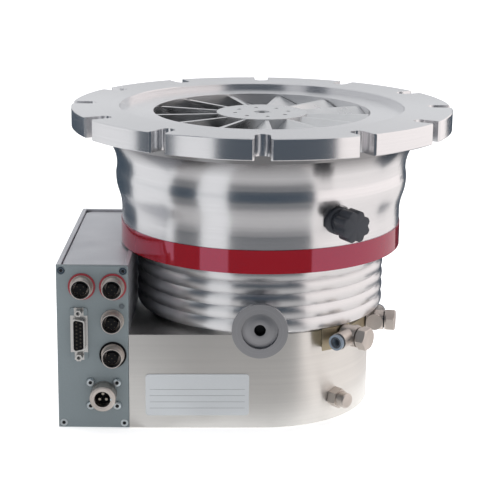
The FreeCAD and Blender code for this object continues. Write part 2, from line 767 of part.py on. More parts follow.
def water_block():
    """Brass block let into the round side of the base. Only its front half stands above the base."""
    corners = water_corners()
    plan = corners + [V(WATER_BLOCK_LEFT, corners[-1].y, 0), corners[0]]
    step = BASE_HEIGHT - WATER_BLOCK_CLEARANCE
    top = RIBS_BOTTOM - WATER_BLOCK_CLEARANCE
    solid = Part.Face(Part.makePolygon(plan)).extrude(V(0, 0, top - WATER_BLOCK_BOTTOM))
    solid.translate(V(0, 0, WATER_BLOCK_BOTTOM))
    behind = block((0, 2 * BASE_RADIUS), (corners[2].y, BASE_RADIUS), (step, top + 1))
    solid = solid.cut([disc(WATER_SEAT + 2 * FIT, 0, top + 1), disc(2 * BASE_RADIUS, step, top + 1), behind])
    for face, azimuth in water_places():
        solid = solid.cut(aimed(disc(BOLT_THREAD + 2 * FIT, -BOLT_REACH - SLACK, 1), face, outward(azimuth)))
    return solid


def elbow(face, azimuth, barrel_azimuth):
    """Banjo ring with a barrel across it. One end of the barrel takes the hose, the other is closed."""
    low = WASHER_THICKNESS
    middle = low + ELBOW_RING / 2
    body = aimed(disc(ELBOW_DIAMETER + 3, low, low + ELBOW_RING), face, outward(azimuth))
    centre = face + outward(azimuth) * middle
    direction = outward(barrel_azimuth)
    barrel = aimed(disc(ELBOW_DIAMETER, -BARREL_BACK, BARREL_LENGTH), centre, direction)
    bolt = aimed(disc(BOLT_THREAD + 2 * FIT, -1, 2 * low + ELBOW_RING), face, outward(azimuth))
    hose = aimed(disc(TUBE_DIAMETER, 0, BARREL_LENGTH + 1), centre, direction)
    seat = aimed(disc(collar_stem() + 2 * FIT, collar_floor(), BARREL_LENGTH + 1), centre, direction)
    return body.fuse(barrel).cut([bolt, hose, seat])


def collar_stem():
    return TUBE_DIAMETER + 2.6


def collar_floor():
    return BARREL_LENGTH - COLLAR_DEPTH - COLLAR_TRAVEL - SLACK


def release_collar(face, azimuth, barrel_azimuth):
    """Ring that is pressed in to let the hose go."""
    centre = face + outward(azimuth) * (WASHER_THICKNESS + ELBOW_RING / 2)
    lip = BARREL_LENGTH + COLLAR_TRAVEL + SLACK
    body = disc(COLLAR_DIAMETER, lip, lip + COLLAR_REACH).fuse(
        disc(collar_stem(), BARREL_LENGTH - COLLAR_DEPTH, lip + COLLAR_REACH)
    )
    body = body.cut(disc(TUBE_DIAMETER, 0, lip + COLLAR_REACH + 1))
    return aimed(body, centre, outward(barrel_azimuth))


def banjo_bolt(face, azimuth):
    low = 2 * WASHER_THICKNESS + ELBOW_RING
    collar = disc(BOLT_HEX, low, low + BOLT_COLLAR)
    head = hexagon(BOLT_HEX, low + BOLT_COLLAR, low + BOLT_COLLAR + BOLT_HEAD)
    bevel = turned(
        (0, low), (BOLT_HEX / 2 + 2, low), (BOLT_HEX / 2 + 2, low + BOLT_COLLAR + BOLT_HEAD - 1.4),
        (BOLT_HEX / 2 - 0.4, low + BOLT_COLLAR + BOLT_HEAD), (0, low + BOLT_COLLAR + BOLT_HEAD),
    )
    shank = disc(BOLT_THREAD, -BOLT_REACH, low + 1)
    return aimed(collar.fuse(head.common(bevel)).fuse(shank), face, outward(azimuth))


def washers(face, azimuth):
    inner = BOLT_THREAD + 2 * FIT
    lower = ring(inner, WASHER_DIAMETER, 0, WASHER_THICKNESS)
    upper = ring(inner, WASHER_DIAMETER, WASHER_THICKNESS + ELBOW_RING, 2 * WASHER_THICKNESS + ELBOW_RING)
    return [aimed(lower, face, outward(azimuth)), aimed(upper, face, outward(azimuth))]


# Sealing gas connection, made along +Z from the base's round side

def gas_place(shape):
    direction = outward(GAS_AZIMUTH)
    return aimed(shape, V(direction.x * BASE_RADIUS, direction.y * BASE_RADIUS, GAS_HEIGHT), direction)


def seal_gas_nipple():
    flat = GAS_HEX**2 / (8 * BASE_RADIUS)
    nipple = hexagon(GAS_HEX, FIT, GAS_HEX_LENGTH).fuse(disc(GAS_THREAD, -GAS_REACH, 1 + flat))
    return gas_place(nipple.cut(disc(GAS_BORE, -GAS_REACH - 1, GAS_HEX_LENGTH + 1)))


def seal_gas_plug():
    top = GAS_HEX_LENGTH + GAS_PLUG_LENGTH
    radius = GAS_PLUG_DIAMETER / 2
    edge = GAS_PLUG_EDGE
    cap = turned((0, GAS_HEX_LENGTH), (radius, GAS_HEX_LENGTH), (radius, top - edge),
                 (radius - edge, top), (0, top))
    return gas_place(cap.fuse(disc(GAS_PLUG_PIN, 1, GAS_HEX_LENGTH + 1)))


# Electronics box

def electronics_housing():
    """Deep drawn box, open at the front and at the lid, with a raised rim round the lid."""
    outer = block((BOX_LEFT, BOX_RIGHT), (PANEL_BACK, BOX_BACK), (BOX_BOTTOM, BOX_TOP))
    lid_low = BOX_TOP - BOX_RIM_HEIGHT - LID_THICKNESS
    inside_left, inside_right = BOX_LEFT + BOX_WALL, BOX_RIGHT - BOX_WALL
    inner = block((inside_left, inside_right), (PANEL_BACK - 1, BOX_BACK - BOX_WALL),
                  (BOX_BOTTOM + BOX_WALL, lid_low - BOX_LEDGE))
    well = block((BOX_LEFT + BOX_RIM, BOX_RIGHT - BOX_RIM), (PANEL_BACK - 1, BOX_BACK - BOX_RIM),
                 (lid_low, BOX_TOP + 1))
    mouth = block((BOX_LEFT + BOX_RIM + BOX_LEDGE, BOX_RIGHT - BOX_RIM - BOX_LEDGE),
                  (PANEL_BACK - 1, BOX_BACK - BOX_RIM - BOX_LEDGE), (lid_low - BOX_LEDGE - 1, lid_low + 1))
    body = outer.cut([inner, well, mouth])
    for y, z in board_holes():
        boss = disc(BOARD_BOSS_DIAMETER, 0, BOARD_BOSS_HEIGHT)
        body = body.fuse(aimed(boss, V(inside_left, y, z), V(1, 0, 0)))
    holes = []
    for y in BOX_SCREW_DEPTHS:
        for z in BOX_SCREW_HEIGHTS:
            holes.append(aimed(disc(BOX_SCREW + 2 * FIT, -BOX_WALL - 1, 1), V(BOX_RIGHT, y, z), V(1, 0, 0)))
    return body.cut(holes)


def electronics_mount_screws():
    screws = []
    for y in BOX_SCREW_DEPTHS:
        for z in BOX_SCREW_HEIGHTS:
            head = disc(1.8 * BOX_SCREW, -BOX_WALL - BOX_SCREW * 0.7, -BOX_WALL)
            screw = head.fuse(disc(BOX_SCREW, -BOX_WALL - 1, 10))
            screws.append(aimed(screw, V(BOX_RIGHT, y, z), V(1, 0, 0)))
    return group(screws)


def board_holes():
    low_y, high_y = PANEL_BACK + 2 * BOARD_MARGIN, BOX_BACK - 2 * BOARD_MARGIN
    low_z, high_z = BOX_BOTTOM + 2 * BOARD_MARGIN, BOX_TOP - 2 * BOARD_MARGIN
    return [(y, z) for y in (low_y, high_y) for z in (low_z, high_z)]


def circuit_board():
    left = BOX_LEFT + BOX_WALL + BOARD_BOSS_HEIGHT
    return block((left, left + BOARD_THICKNESS), (PANEL_BACK + BOARD_MARGIN, BOX_BACK - BOARD_MARGIN),
                 (BOX_BOTTOM + BOARD_MARGIN, BOX_TOP - BOARD_MARGIN))


def electronics_lid():
    inset = BOX_RIM + LID_GROOVE
    low = BOX_TOP - BOX_RIM_HEIGHT - LID_THICKNESS
    return block((BOX_LEFT + inset, BOX_RIGHT - inset), (PANEL_BACK + LID_GROOVE, BOX_BACK - inset),
                 (low, low + LID_THICKNESS))


def panel_hole(place, diameter):
    return aimed(disc(diameter, -PANEL_THICKNESS - 1, 1), panel_point(place), FRONT)


def panel_point(place):
    return V(place[0], PANEL_FACE, place[1])


def socket_places():
    return [ACCESSORY_A, ACCESSORY_B, GAUGE_PLACE, SERIAL_PLACE]


def panel_screw_places():
    inset = PANEL_SCREW_INSET
    heights = (BOX_BOTTOM + inset, BOX_TOP - inset)
    return [(x, z) for z in heights for x in (BOX_LEFT + inset, BOX_RIGHT - inset)]


def supply_screw_places():
    half_x, half_z = SUPPLY_SCREW_SPACING[0] / 2, SUPPLY_SCREW_SPACING[1] / 2
    return [(SUPPLY_PLACE[0] + x, SUPPLY_PLACE[1] + z) for x in (-half_x, half_x) for z in (-half_z, half_z)]


def electronics_panel():
    plate = block((BOX_LEFT, BOX_RIGHT), (PANEL_FACE, PANEL_BACK), (BOX_BOTTOM, BOX_TOP))
    face_edges = [e for e in plate.Edges if e.BoundBox.YMax < PANEL_FACE + 0.001]
    plate = plate.makeChamfer(PANEL_EDGE, face_edges)
    cuts = [panel_hole(place, SOCKET_BACK_DIAMETER + 2 * FIT) for place in socket_places()]
    cuts.append(panel_hole(SUPPLY_PLACE, SUPPLY_DIAMETER + 2 * FIT))
    cuts.append(panel_hole(LIGHT_PLACE, LIGHT_DIAMETER + 2 * FIT))
    cuts += [panel_hole(place, SUPPLY_SCREW + 2 * FIT) for place in supply_screw_places()]
    cuts += [panel_hole(place, JACK_THREAD + 2 * FIT) for place in jack_places()]
    for place in panel_screw_places():
        cuts.append(panel_hole(place, PANEL_SCREW + 2 * FIT))
        cuts.append(aimed(disc(PANEL_SCREW_HEAD + SLACK, -PANEL_SCREW / 2, 1), panel_point(place), FRONT))
    shell = d_prism(REMOTE_SHELL, FIT, -PANEL_THICKNESS - 1, 1)
    cuts.append(aimed(shell, panel_point(REMOTE_PLACE), FRONT))
    return plate.cut(cuts)


def panel_screws():
    """Screws set flush in the panel's corners. Their tips stay inside the wall's thickness."""
    depth = PANEL_SCREW / 2
    screws = []
    for place in panel_screw_places():
        head = disc(PANEL_SCREW_HEAD, -depth, 0)
        screw = head.fuse(disc(PANEL_SCREW, -PANEL_THICKNESS, -depth / 2))
        screw = screw.cut(hexagon(PANEL_SCREW * 0.6, -depth / 2, 1))
        screws.append(aimed(screw, panel_point(place), FRONT))
    return group(screws)


def mark_ring(place):
    inner = SOCKET_FLANGE_DIAMETER + 2 * FIT
    return aimed(ring(inner, MARK_RING_DIAMETER, 0, MARK_RING_THICKNESS), panel_point(place), FRONT)


def round_socket(place):
    """Threaded socket shell: flange on the panel, barrel in front, shank through the panel."""
    barrel = disc(SOCKET_DIAMETER, 0, SOCKET_REACH)
    flange = disc(SOCKET_FLANGE_DIAMETER, 0, SOCKET_FLANGE)
    shank = disc(SOCKET_BACK_DIAMETER, -SOCKET_BACK, 1)
    hollow = disc(SOCKET_BORE, SOCKET_REACH - SOCKET_BORE_DEPTH, SOCKET_REACH + 1)
    return aimed(barrel.fuse([flange, shank]).cut(hollow), panel_point(place), FRONT)


def socket_insert(place):
    low = SOCKET_REACH - SOCKET_BORE_DEPTH
    body = disc(INSERT_DIAMETER, low, SOCKET_REACH - INSERT_DROP)
    key = block((-0.6, 0.6), (-INSERT_DIAMETER, -INSERT_DIAMETER / 2 + 0.7), (low + 1, SOCKET_REACH))
    return aimed(body.cut(key), panel_point(place), FRONT)


def d_prism(size, grow, low, high):
    """Prism with the D-shaped section of the connector, long side upright when aimed forward."""
    half_width = size[0] / 2 + grow
    half_length = size[1] / 2 + grow
    taper = REMOTE_SHELL_TAPER
    points = [
        V(-half_width, -half_length, low), V(half_width, -half_length + taper, low),
        V(half_width, half_length - taper, low), V(-half_width, half_length, low),
    ]
    prism = Part.Face(Part.makePolygon(points + points[:1])).extrude(V(0, 0, high - low))
    upright = [e for e in prism.Edges if e.BoundBox.ZLength > (high - low) / 2]
    return prism.makeFillet(size[0] / 5, upright)


def remote_shell():
    width, length = REMOTE_FLANGE
    plate = Part.makeBox(width, length, REMOTE_FLANGE_THICKNESS, V(-width / 2, -length / 2, 0))
    corners = [e for e in plate.Edges if e.BoundBox.ZLength > REMOTE_FLANGE_THICKNESS / 2]
    plate = plate.makeFillet(2.0, corners)
    shell = d_prism(REMOTE_SHELL, 0, 0, REMOTE_SHELL_REACH)
    back = d_prism(REMOTE_SHELL, 0, -REMOTE_BACK, 0.5)
    hollow = d_prism(REMOTE_SHELL, -REMOTE_SHELL_WALL, -REMOTE_BACK - 1, REMOTE_SHELL_REACH + 1)
    body = plate.fuse([shell, back]).cut(hollow)
    for side in (-1, 1):
        hole = disc(JACK_THREAD + 2 * FIT, -1, 3)
        hole.translate(V(0, side * JACK_SPACING / 2, 0))
        body = body.cut(hole)
    return aimed(body, panel_point(REMOTE_PLACE), FRONT)


def remote_insert():
    low = -REMOTE_BACK - 2
    body = d_prism(REMOTE_SHELL, -REMOTE_SHELL_WALL - FIT, low, REMOTE_SHELL_REACH - REMOTE_INSERT_DROP)
    return aimed(body, panel_point(REMOTE_PLACE), FRONT)


def jack_places():
    return [(REMOTE_PLACE[0], REMOTE_PLACE[1] + side * JACK_SPACING / 2) for side in (-1, 1)]


def jack_screws():
    screws = []
    for place in jack_places():
        low = REMOTE_FLANGE_THICKNESS
        post = hexagon(JACK_HEX, low, low + JACK_REACH).fuse(disc(JACK_THREAD, -PANEL_THICKNESS - 2, low + 1))
        post = post.cut(disc(JACK_HEX * 0.55, low + 1.5, low + JACK_REACH + 1))
        screws.append(aimed(post, panel_point(place), FRONT))
    return group(screws)


def supply_socket():
    """Round supply connector with a square flange behind the panel."""
    back = -PANEL_THICKNESS
    barrel = disc(SUPPLY_DIAMETER, back - 6, SUPPLY_REACH)
    half = SUPPLY_FLANGE / 2
    flange = block((-half, half), (-half, half), (back - SUPPLY_FLANGE_THICKNESS, back))
    hollow = disc(SUPPLY_BORE, SUPPLY_REACH - SUPPLY_BORE_DEPTH, SUPPLY_REACH + 1)
    bevel = turned(
        (SUPPLY_DIAMETER / 2 - 0.7, SUPPLY_REACH), (SUPPLY_DIAMETER / 2 + 1, SUPPLY_REACH - 1.7),
        (SUPPLY_DIAMETER / 2 + 1, SUPPLY_REACH),
    )
    body = barrel.fuse(flange).cut([hollow, bevel])
    body = aimed(body, panel_point(SUPPLY_PLACE), FRONT)
    return body.cut([supply_screw_hole(place) for place in supply_screw_places()])


def supply_screw_hole(place):
    low = -PANEL_THICKNESS - SUPPLY_FLANGE_THICKNESS - 1
    return aimed(disc(SUPPLY_SCREW + 2 * FIT, low, 1), panel_point(place), FRONT)


def supply_insert():
    low = SUPPLY_REACH - SUPPLY_BORE_DEPTH
    return aimed(disc(SUPPLY_BORE - 2 * FIT, low, low + 2), panel_point(SUPPLY_PLACE), FRONT)


def supply_pins():
    low = SUPPLY_REACH - SUPPLY_BORE_DEPTH + 2
    high = SUPPLY_REACH - SUPPLY_PIN_DROP
    pin = disc(SUPPLY_PIN, low, high)
    pin.translate(V(0, SUPPLY_PIN_CIRCLE / 2, 0))
    return group([aimed(one, panel_point(SUPPLY_PLACE), FRONT) for one in spread(pin, SUPPLY_PINS)])


def supply_screws():
    """Pan head screws round the supply connector."""
    screws = []
    low = -PANEL_THICKNESS - SUPPLY_FLANGE_THICKNESS - 1
    radius = SUPPLY_SCREW_HEAD / 2
    height = SUPPLY_SCREW_HEAD_HEIGHT
    for place in supply_screw_places():
        head = turned((0, 0), (radius, 0), (radius, height / 2), ((radius * 0.8, height * 0.85), (radius / 2, height)),
                      (0, height))
        socket = hexagon(SUPPLY_SCREW * 0.6, height / 2, height + 1)
        screw = head.fuse(disc(SUPPLY_SCREW, low, 0.5)).cut(socket)
        screws.append(aimed(screw, panel_point(place), FRONT))
    return group(screws)


def status_light():
    return aimed(disc(LIGHT_DIAMETER, -PANEL_THICKNESS, LIGHT_REACH), panel_point(LIGHT_PLACE), FRONT)


# Rotor and stator stages

def blade(inner, outer, low, high, inner_angle, outer_angle, hand):
    """Twisted blade along +X. Its section leans more at the tip than at the root."""
    height = high - low
    wires = []
    for radius, angle in ((inner, inner_angle), (outer, outer_angle)):
        slope = math.radians(angle)
        lean = hand * height / 2 / math.tan(slope)
        half = BLADE_THICKNESS / math.sin(slope) / 2
        corners = [(-lean - half, low), (-lean + half, low), (lean + half, high), (lean - half, high)]
        points = [V(radius, y, z) for y, z in corners + corners[:1]]
        wires.append(Part.makePolygon(points))
    return Part.makeLoft(wires, True, True)


def rotor_disc(number):
    """Rotor disc: hub with twisted blades milled to a common tip circle."""
    top, bottom = ROTOR_LEVELS[number]
    hub_top = HUB_TOP if number == 0 else ROTOR_LEVELS[number - 1][1] - STAGE_GAP / 2
    hub_bottom = bottom - STAGE_GAP / 2
    tip = ROTOR_DIAMETER / 2
    one = blade(HUB_DIAMETER / 2 - 4, tip + 1, bottom, top, ROTOR_ROOT_ANGLES[number],
                ROTOR_TIP_ANGLES[number], 1)
    one = one.common(disc(ROTOR_DIAMETER, bottom - 1, top + 1))
    blades = spread(one, ROTOR_BLADE_COUNTS[number], 180.0)
    body = disc(HUB_DIAMETER, hub_bottom, hub_top).fuse(blades)
    if number > 0:
        return body.cut(disc(SHAFT_DIAMETER + 2 * FIT, hub_bottom - 1, hub_top + 1))
    hole = disc(BALANCE_HOLE, HUB_TOP - BALANCE_DEPTH, HUB_TOP + 1)
    hole.translate(V(BALANCE_CIRCLE / 2, 0, 0))
    cuts = spread(hole, BALANCE_HOLES, 12.0)
    cuts.append(disc(SHAFT_DIAMETER + 2 * FIT, hub_bottom - 1, HUB_TOP - HUB_LID))
    cuts.append(disc(ROTOR_BOLT + 2 * FIT, hub_bottom - 1, HUB_TOP + 1))
    cuts.append(disc(ROTOR_BOLT_HEAD + 2 * SLACK, HUB_TOP - ROTOR_BOLT_HEAD_HEIGHT, HUB_TOP + 1))
    return body.cut(cuts)


def rotor_bolt():
    seat = HUB_TOP - ROTOR_BOLT_HEAD_HEIGHT
    head = disc(ROTOR_BOLT_HEAD, seat, HUB_TOP - 0.2)
    shank = disc(ROTOR_BOLT, seat - ROTOR_BOLT_REACH, seat + 1)
    socket = hexagon(ROTOR_BOLT_SOCKET, HUB_TOP - ROTOR_BOLT_HEAD_HEIGHT / 1.5, HUB_TOP + 1)
    return head.fuse(shank).cut(socket)


def rotor_shaft():
    top = HUB_TOP - HUB_LID - FIT
    low = WEB_TOP + BODY_GAP
    hole = disc(ROTOR_BOLT + 2 * FIT, HUB_TOP - ROTOR_BOLT_HEAD_HEIGHT - ROTOR_BOLT_REACH - 1, top + 1)
    return disc(SHAFT_DIAMETER, low, top).cut(hole)


def drag_drum():
    outer = DRUM_DIAMETER / 2
    web_low = DRUM_TOP - DRUM_WEB
    bore = SHAFT_DIAMETER / 2 + FIT
    return turned(
        (bore, DRUM_TOP), (outer, DRUM_TOP), (outer, DRUM_TOP - DRUM_LENGTH),
        (outer - DRUM_WALL, DRUM_TOP - DRUM_LENGTH), (outer - DRUM_WALL, web_low), (bore, web_low),
    )


def drag_sleeve():
    """Stationary sleeve round the drum, with slanting grooves on its outside for the gas way back."""
    outer = STAGE_BORE - 2 * FIT
    body = ring(DRUM_DIAMETER + 2 * DRAG_GAP, outer, LEDGE, LEDGE + DRAG_SLEEVE_LENGTH)
    depth = DRAG_GROOVE_DEPTH
    groove = Part.makeBox(2 * depth, 2 * depth, 2 * DRAG_SLEEVE_LENGTH,
                          V(outer / 2 - depth, -depth, -DRAG_SLEEVE_LENGTH))
    groove.rotate(V(0, 0, 0), V(1, 0, 0), DRAG_GROOVE_ANGLE)
    groove.translate(V(0, 0, LEDGE + DRAG_SLEEVE_LENGTH / 2))
    return body.cut(spread(groove, DRAG_GROOVES, DRAG_GROOVE_START))


def stator_disc(number):
    """Stator disc in two halves. Each half has a rim, an inner ring and blades of the other hand."""
    top, bottom = STATOR_LEVELS[number]
    middle = (top + bottom) / 2
    inner = HUB_DIAMETER + 2 * HUB_GAP
    rim_inner = STAGE_BORE - 1
    rim = ring(rim_inner, STACK_BORE - 2 * FIT, middle - STATOR_RIM / 2, middle + STATOR_RIM / 2)
    hub = ring(inner, inner + 2 * STATOR_INNER_RING, bottom, top)
    one = blade(inner / 2 + 1, STAGE_BORE / 2 + 1, bottom, top, STATOR_ROOT_ANGLE, STATOR_TIP_ANGLE, -1)
    reach = ring(inner, STAGE_BORE - 2 * FIT, bottom, top)
    one = one.common(reach)
    count = STATOR_BLADE_COUNTS[number] // 2
    far = FLANGE_DIAMETER
    half_space = block((-far, far), (STATOR_SPLIT / 2, far), (0, TOTAL_HEIGHT))
    rings = [rim.common(half_space), hub.common(half_space)]
    half = rings[0].fuse([rings[1]] + spread(one, count, 90 / count, 180))
    other = half.copy()
    other.rotate(V(0, 0, 0), UP, 180)
    return group([half, other])


def spacer_rings():
    """Rings that clamp the stator discs between the shoulder and the spigot."""
    rings = []
    top = SHOULDER
    for high, low in STATOR_LEVELS:
        middle = (high + low) / 2
        rings.append(ring(STAGE_BORE, STACK_BORE - 2 * FIT, middle + STATOR_RIM / 2, top))
        top = middle - STATOR_RIM / 2
    rings.append(ring(STAGE_BORE, STACK_BORE - 2 * FIT, SPIGOT_TOP, top))
    return group(rings)


# Bearings and motor, stacked in the carrier from its floor up

def motor_length():
    """Height that the bearings leave for the motor."""
    thrust = 2 * THRUST_MAGNET + THRUST_DISC + 2 * BODY_GAP
    others = 2 * RADIAL_MAGNET + 2 * BEARING_WIDTH + 5 * STACK_SPACE
    return CARRIER_TOP - CARRIER_SEAT - thrust - others - STACK_END


def stack_levels():
    levels = {}
    low = CARRIER_SEAT
    for name, height, space in (
        ("thrust_low", THRUST_MAGNET, 0), ("thrust_disc", THRUST_DISC, BODY_GAP),
        ("thrust_high", THRUST_MAGNET, BODY_GAP), ("backup_low", BEARING_WIDTH, STACK_SPACE),
        ("radial_low", RADIAL_MAGNET, STACK_SPACE), ("motor", motor_length(), STACK_SPACE),
        ("radial_high", RADIAL_MAGNET, STACK_SPACE), ("backup_high", BEARING_WIDTH, STACK_SPACE),
    ):
        low = low + space
        levels[name] = (low, low + height)
        low = low + height
    return levels


STACK = stack_levels()


def carrier_screw_place(shape):
    shape.translate(V((CARRIER_FLANGE + CARRIER_BORE + 2 * CARRIER_WALL) / 4, 0, 0))
    return shape


def carrier_screw_end():
    return WEB_TOP - 5


def bearing_carrier():
    """Tube on the base's web that holds the motor and all bearings."""
    bore = CARRIER_BORE / 2
    wall = bore + CARRIER_WALL
    body = turned(
        (SHAFT_DIAMETER / 2 + 2, WEB_TOP), (CARRIER_FLANGE / 2, WEB_TOP), (CARRIER_FLANGE / 2, CARRIER_SEAT),
        (wall, CARRIER_SEAT), (wall, CARRIER_TOP), (bore, CARRIER_TOP), (bore, CARRIER_SEAT),
        (SHAFT_DIAMETER / 2 + 2, CARRIER_SEAT),
    )
    hole = carrier_screw_place(disc(COVER_SCREW + 2 * FIT, WEB_TOP - 1, CARRIER_SEAT + 1))
    return body.cut(spread(hole, CARRIER_SCREWS))


def carrier_screws():
    head = disc(1.6 * COVER_SCREW, CARRIER_SEAT, CARRIER_SEAT + COVER_SCREW)
    screw = head.fuse(disc(COVER_SCREW, carrier_screw_end(), CARRIER_SEAT + 1))
    return spread(carrier_screw_place(screw), CARRIER_SCREWS)


def bearing_magnets():
    """Two thrust magnets beside the thrust disc and two radial magnets with poles."""
    outer = CARRIER_BORE - 2 * FIT
    thrust = [ring(THRUST_BORE, outer, *STACK[name]) for name in ("thrust_low", "thrust_high")]
    return group(thrust + [pole_ring("radial_low"), pole_ring("radial_high")])


def thrust_disc():
    return ring(SHAFT_DIAMETER + 2 * FIT, THRUST_DISC_DIAMETER, *STACK["thrust_disc"])


def shaft_sleeve(level):
    inner = SHAFT_DIAMETER + 2 * FIT
    return ring(inner, inner + 2 * SLEEVE_WALL, *STACK[level])


def pole_ring(level):
    """Laminated ring with pole slots on the inside."""
    low, high = STACK[level]
    inner = SHAFT_DIAMETER + 2 * FIT + 2 * SLEEVE_WALL + 2 * AIR_GAP
    body = ring(inner, CARRIER_BORE - 2 * FIT, low, high)
    slot = block((inner / 2 - 1, CARRIER_BORE / 2 - 5), (-POLE_SLOT / 2, POLE_SLOT / 2), (low - 1, high + 1))
    return body.cut(spread(slot, POLE_COUNT))


def ball_circle():
    return SHAFT_DIAMETER + 2 * BACKUP_GAP + 2 * RACE_WALL + BALL_DIAMETER - 2.4


def bearing_races(level):
    """Inner and outer race of a backup bearing with a groove for the balls."""
    low, high = STACK[level]
    bore = SHAFT_DIAMETER + 2 * BACKUP_GAP
    middle = (low + high) / 2
    track = Part.makeTorus(ball_circle() / 2, BALL_DIAMETER / 2 + FIT, V(0, 0, middle))
    inner_race = ring(bore, bore + 2 * RACE_WALL, low, high).cut(track)
    outer_low = ball_circle() + BALL_DIAMETER - 2.4
    outer_race = ring(outer_low, CARRIER_BORE - 2 * FIT, low, high).cut(track)
    return [inner_race, outer_race]


def bearing_balls(level):
    low, high = STACK[level]
    ball = Part.makeSphere(BALL_DIAMETER / 2, V(ball_circle() / 2, 0, (low + high) / 2))
    return spread(ball, BALL_COUNT)


def build():
    os.makedirs("parts", exist_ok=True)
    save("upper_housing", upper_housing())
    save("lower_housing", lower_housing())
    save("housing_screws", housing_screws())
    save("color_band", color_band())

    save("base_body", base_body())
    save("base_cover", base_cover())
    save("base_screws", group(base_cover_screws() + carrier_screws()))
    save("seal_rings", seal_rings())
    save("rating_plate", rating_plate())
    save("foreline_port", foreline_port())

    save("vent_collar", vent_collar())
    save("vent_seal", vent_seal())
    save("vent_stem", vent_stem())
    save("vent_knob", vent_knob())

    first, second = water_places()
    save("water_block", water_block())
    save("water_elbow_front", elbow(*first, WATER_FIRST_AZIMUTH - 90))
    save("water_elbow_rear", elbow(*second, WATER_SECOND_AZIMUTH + 90))
    save("release_collar_front", release_collar(*first, WATER_FIRST_AZIMUTH - 90))
    save("release_collar_rear", release_collar(*second, WATER_SECOND_AZIMUTH + 90))
    save("banjo_bolts", group([banjo_bolt(*first), banjo_bolt(*second)]))
    save("banjo_washers", group(washers(*first) + washers(*second)))
    save("seal_gas_nipple", seal_gas_nipple())
    save("seal_gas_plug", seal_gas_plug())

    save("electronics_housing", electronics_housing())
    save("electronics_lid", electronics_lid())
    save("electronics_panel", electronics_panel())
    save("electronics_mount_screws", electronics_mount_screws())
    save("circuit_board", circuit_board())
    save("panel_screws", panel_screws())
    save("accessory_rings", group([mark_ring(ACCESSORY_A), mark_ring(ACCESSORY_B)]))
    save("round_sockets", group([round_socket(place) for place in socket_places()]))
    save("serial_ring", mark_ring(SERIAL_PLACE))
    save("socket_inserts", group([socket_insert(place) for place in socket_places()]))
    save("remote_shell", remote_shell())
    save("remote_insert", remote_insert())
    save("jack_screws", jack_screws())
    save("supply_socket", supply_socket())
    save("supply_insert", supply_insert())
    save("supply_pins", supply_pins())
    save("supply_screws", supply_screws())
    save("status_light", status_light())

    for number in range(len(ROTOR_BLADE_COUNTS)):
        save(f"rotor_disc_{number + 1}", rotor_disc(number))
    for number in range(len(STATOR_BLADE_COUNTS)):
        save(f"stator_disc_{number + 1}", stator_disc(number))
    save("rotor_bolt", rotor_bolt())
    save("rotor_shaft", rotor_shaft())
    save("drag_drum", drag_drum())
    save("drag_sleeve", drag_sleeve())
    save("spacer_rings", spacer_rings())
    save("bearing_carrier", bearing_carrier())
    save("bearing_magnets", bearing_magnets())
    save("thrust_disc", thrust_disc())
    save("shaft_sleeves", group([shaft_sleeve(name) for name in ("radial_low", "motor", "radial_high")]))
    save("motor_stator", pole_ring("motor"))
    save("backup_races", group(bearing_races("backup_low") + bearing_races("backup_high")))
    save("backup_balls", group(bearing_balls("backup_low") + bearing_balls("backup_high")))


build()
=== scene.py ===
import json
import math

import bmesh
import bpy
from mathutils import Matrix, Vector

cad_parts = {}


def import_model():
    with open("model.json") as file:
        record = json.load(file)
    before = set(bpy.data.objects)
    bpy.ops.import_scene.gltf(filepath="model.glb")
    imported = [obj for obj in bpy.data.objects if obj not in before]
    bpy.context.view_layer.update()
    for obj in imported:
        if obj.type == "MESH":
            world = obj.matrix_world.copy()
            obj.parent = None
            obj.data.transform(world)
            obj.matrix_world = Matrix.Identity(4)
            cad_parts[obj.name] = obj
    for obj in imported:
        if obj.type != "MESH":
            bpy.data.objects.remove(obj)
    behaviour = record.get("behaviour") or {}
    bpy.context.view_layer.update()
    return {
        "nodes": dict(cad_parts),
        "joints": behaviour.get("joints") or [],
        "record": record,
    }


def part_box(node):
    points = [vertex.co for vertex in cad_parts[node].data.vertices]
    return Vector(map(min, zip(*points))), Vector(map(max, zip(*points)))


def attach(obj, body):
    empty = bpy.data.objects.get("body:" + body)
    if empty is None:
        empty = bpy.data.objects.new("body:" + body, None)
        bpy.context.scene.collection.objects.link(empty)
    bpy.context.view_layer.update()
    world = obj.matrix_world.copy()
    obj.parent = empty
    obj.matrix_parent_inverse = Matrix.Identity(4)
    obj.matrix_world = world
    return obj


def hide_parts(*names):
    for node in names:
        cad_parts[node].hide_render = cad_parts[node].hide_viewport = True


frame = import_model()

MM = 0.001
nodes = frame["nodes"]

# Camera at the photograph's viewing angle, in metres and degrees
LENS = 107.85
SENSOR = 36.0
CAMERA_PLACE = (-0.0077, -1.1166, 0.4073)
CAMERA_PITCH = 14.76
CAMERA_ROLL = 0.67

# Floor, world and lamp
FLOOR_SIZE = 14.0
FLOOR_COLOR = (0.93, 0.93, 0.93)
FLOOR_GLOW = 0.52
WORLD_COLOR = (0.93, 0.94, 0.96)
WORLD_STRENGTH = 0.77
WALL_INSET = 0.2
WALL_FOOT = -0.01
LAMP_PLACE = (0.3, 0.5, 2.4)
LAMP_SIZE = 2.4
LAMP_POWER = 26.0

# Colours of the reflection cards
WHITE = (1.0, 1.0, 1.0)
DARK_FLAG = (0.045, 0.066, 0.092)
FLAG_FOOT = (0.15, 0.152, 0.158)
GREY_FLAG = (0.55, 0.54, 0.54)
WHITE_FLOOR = (0.86, 0.86, 0.87)
WARM_CARD = (1.13, 1.06, 1.04)
WARM_FLOOR = (0.93, 0.89, 0.875)

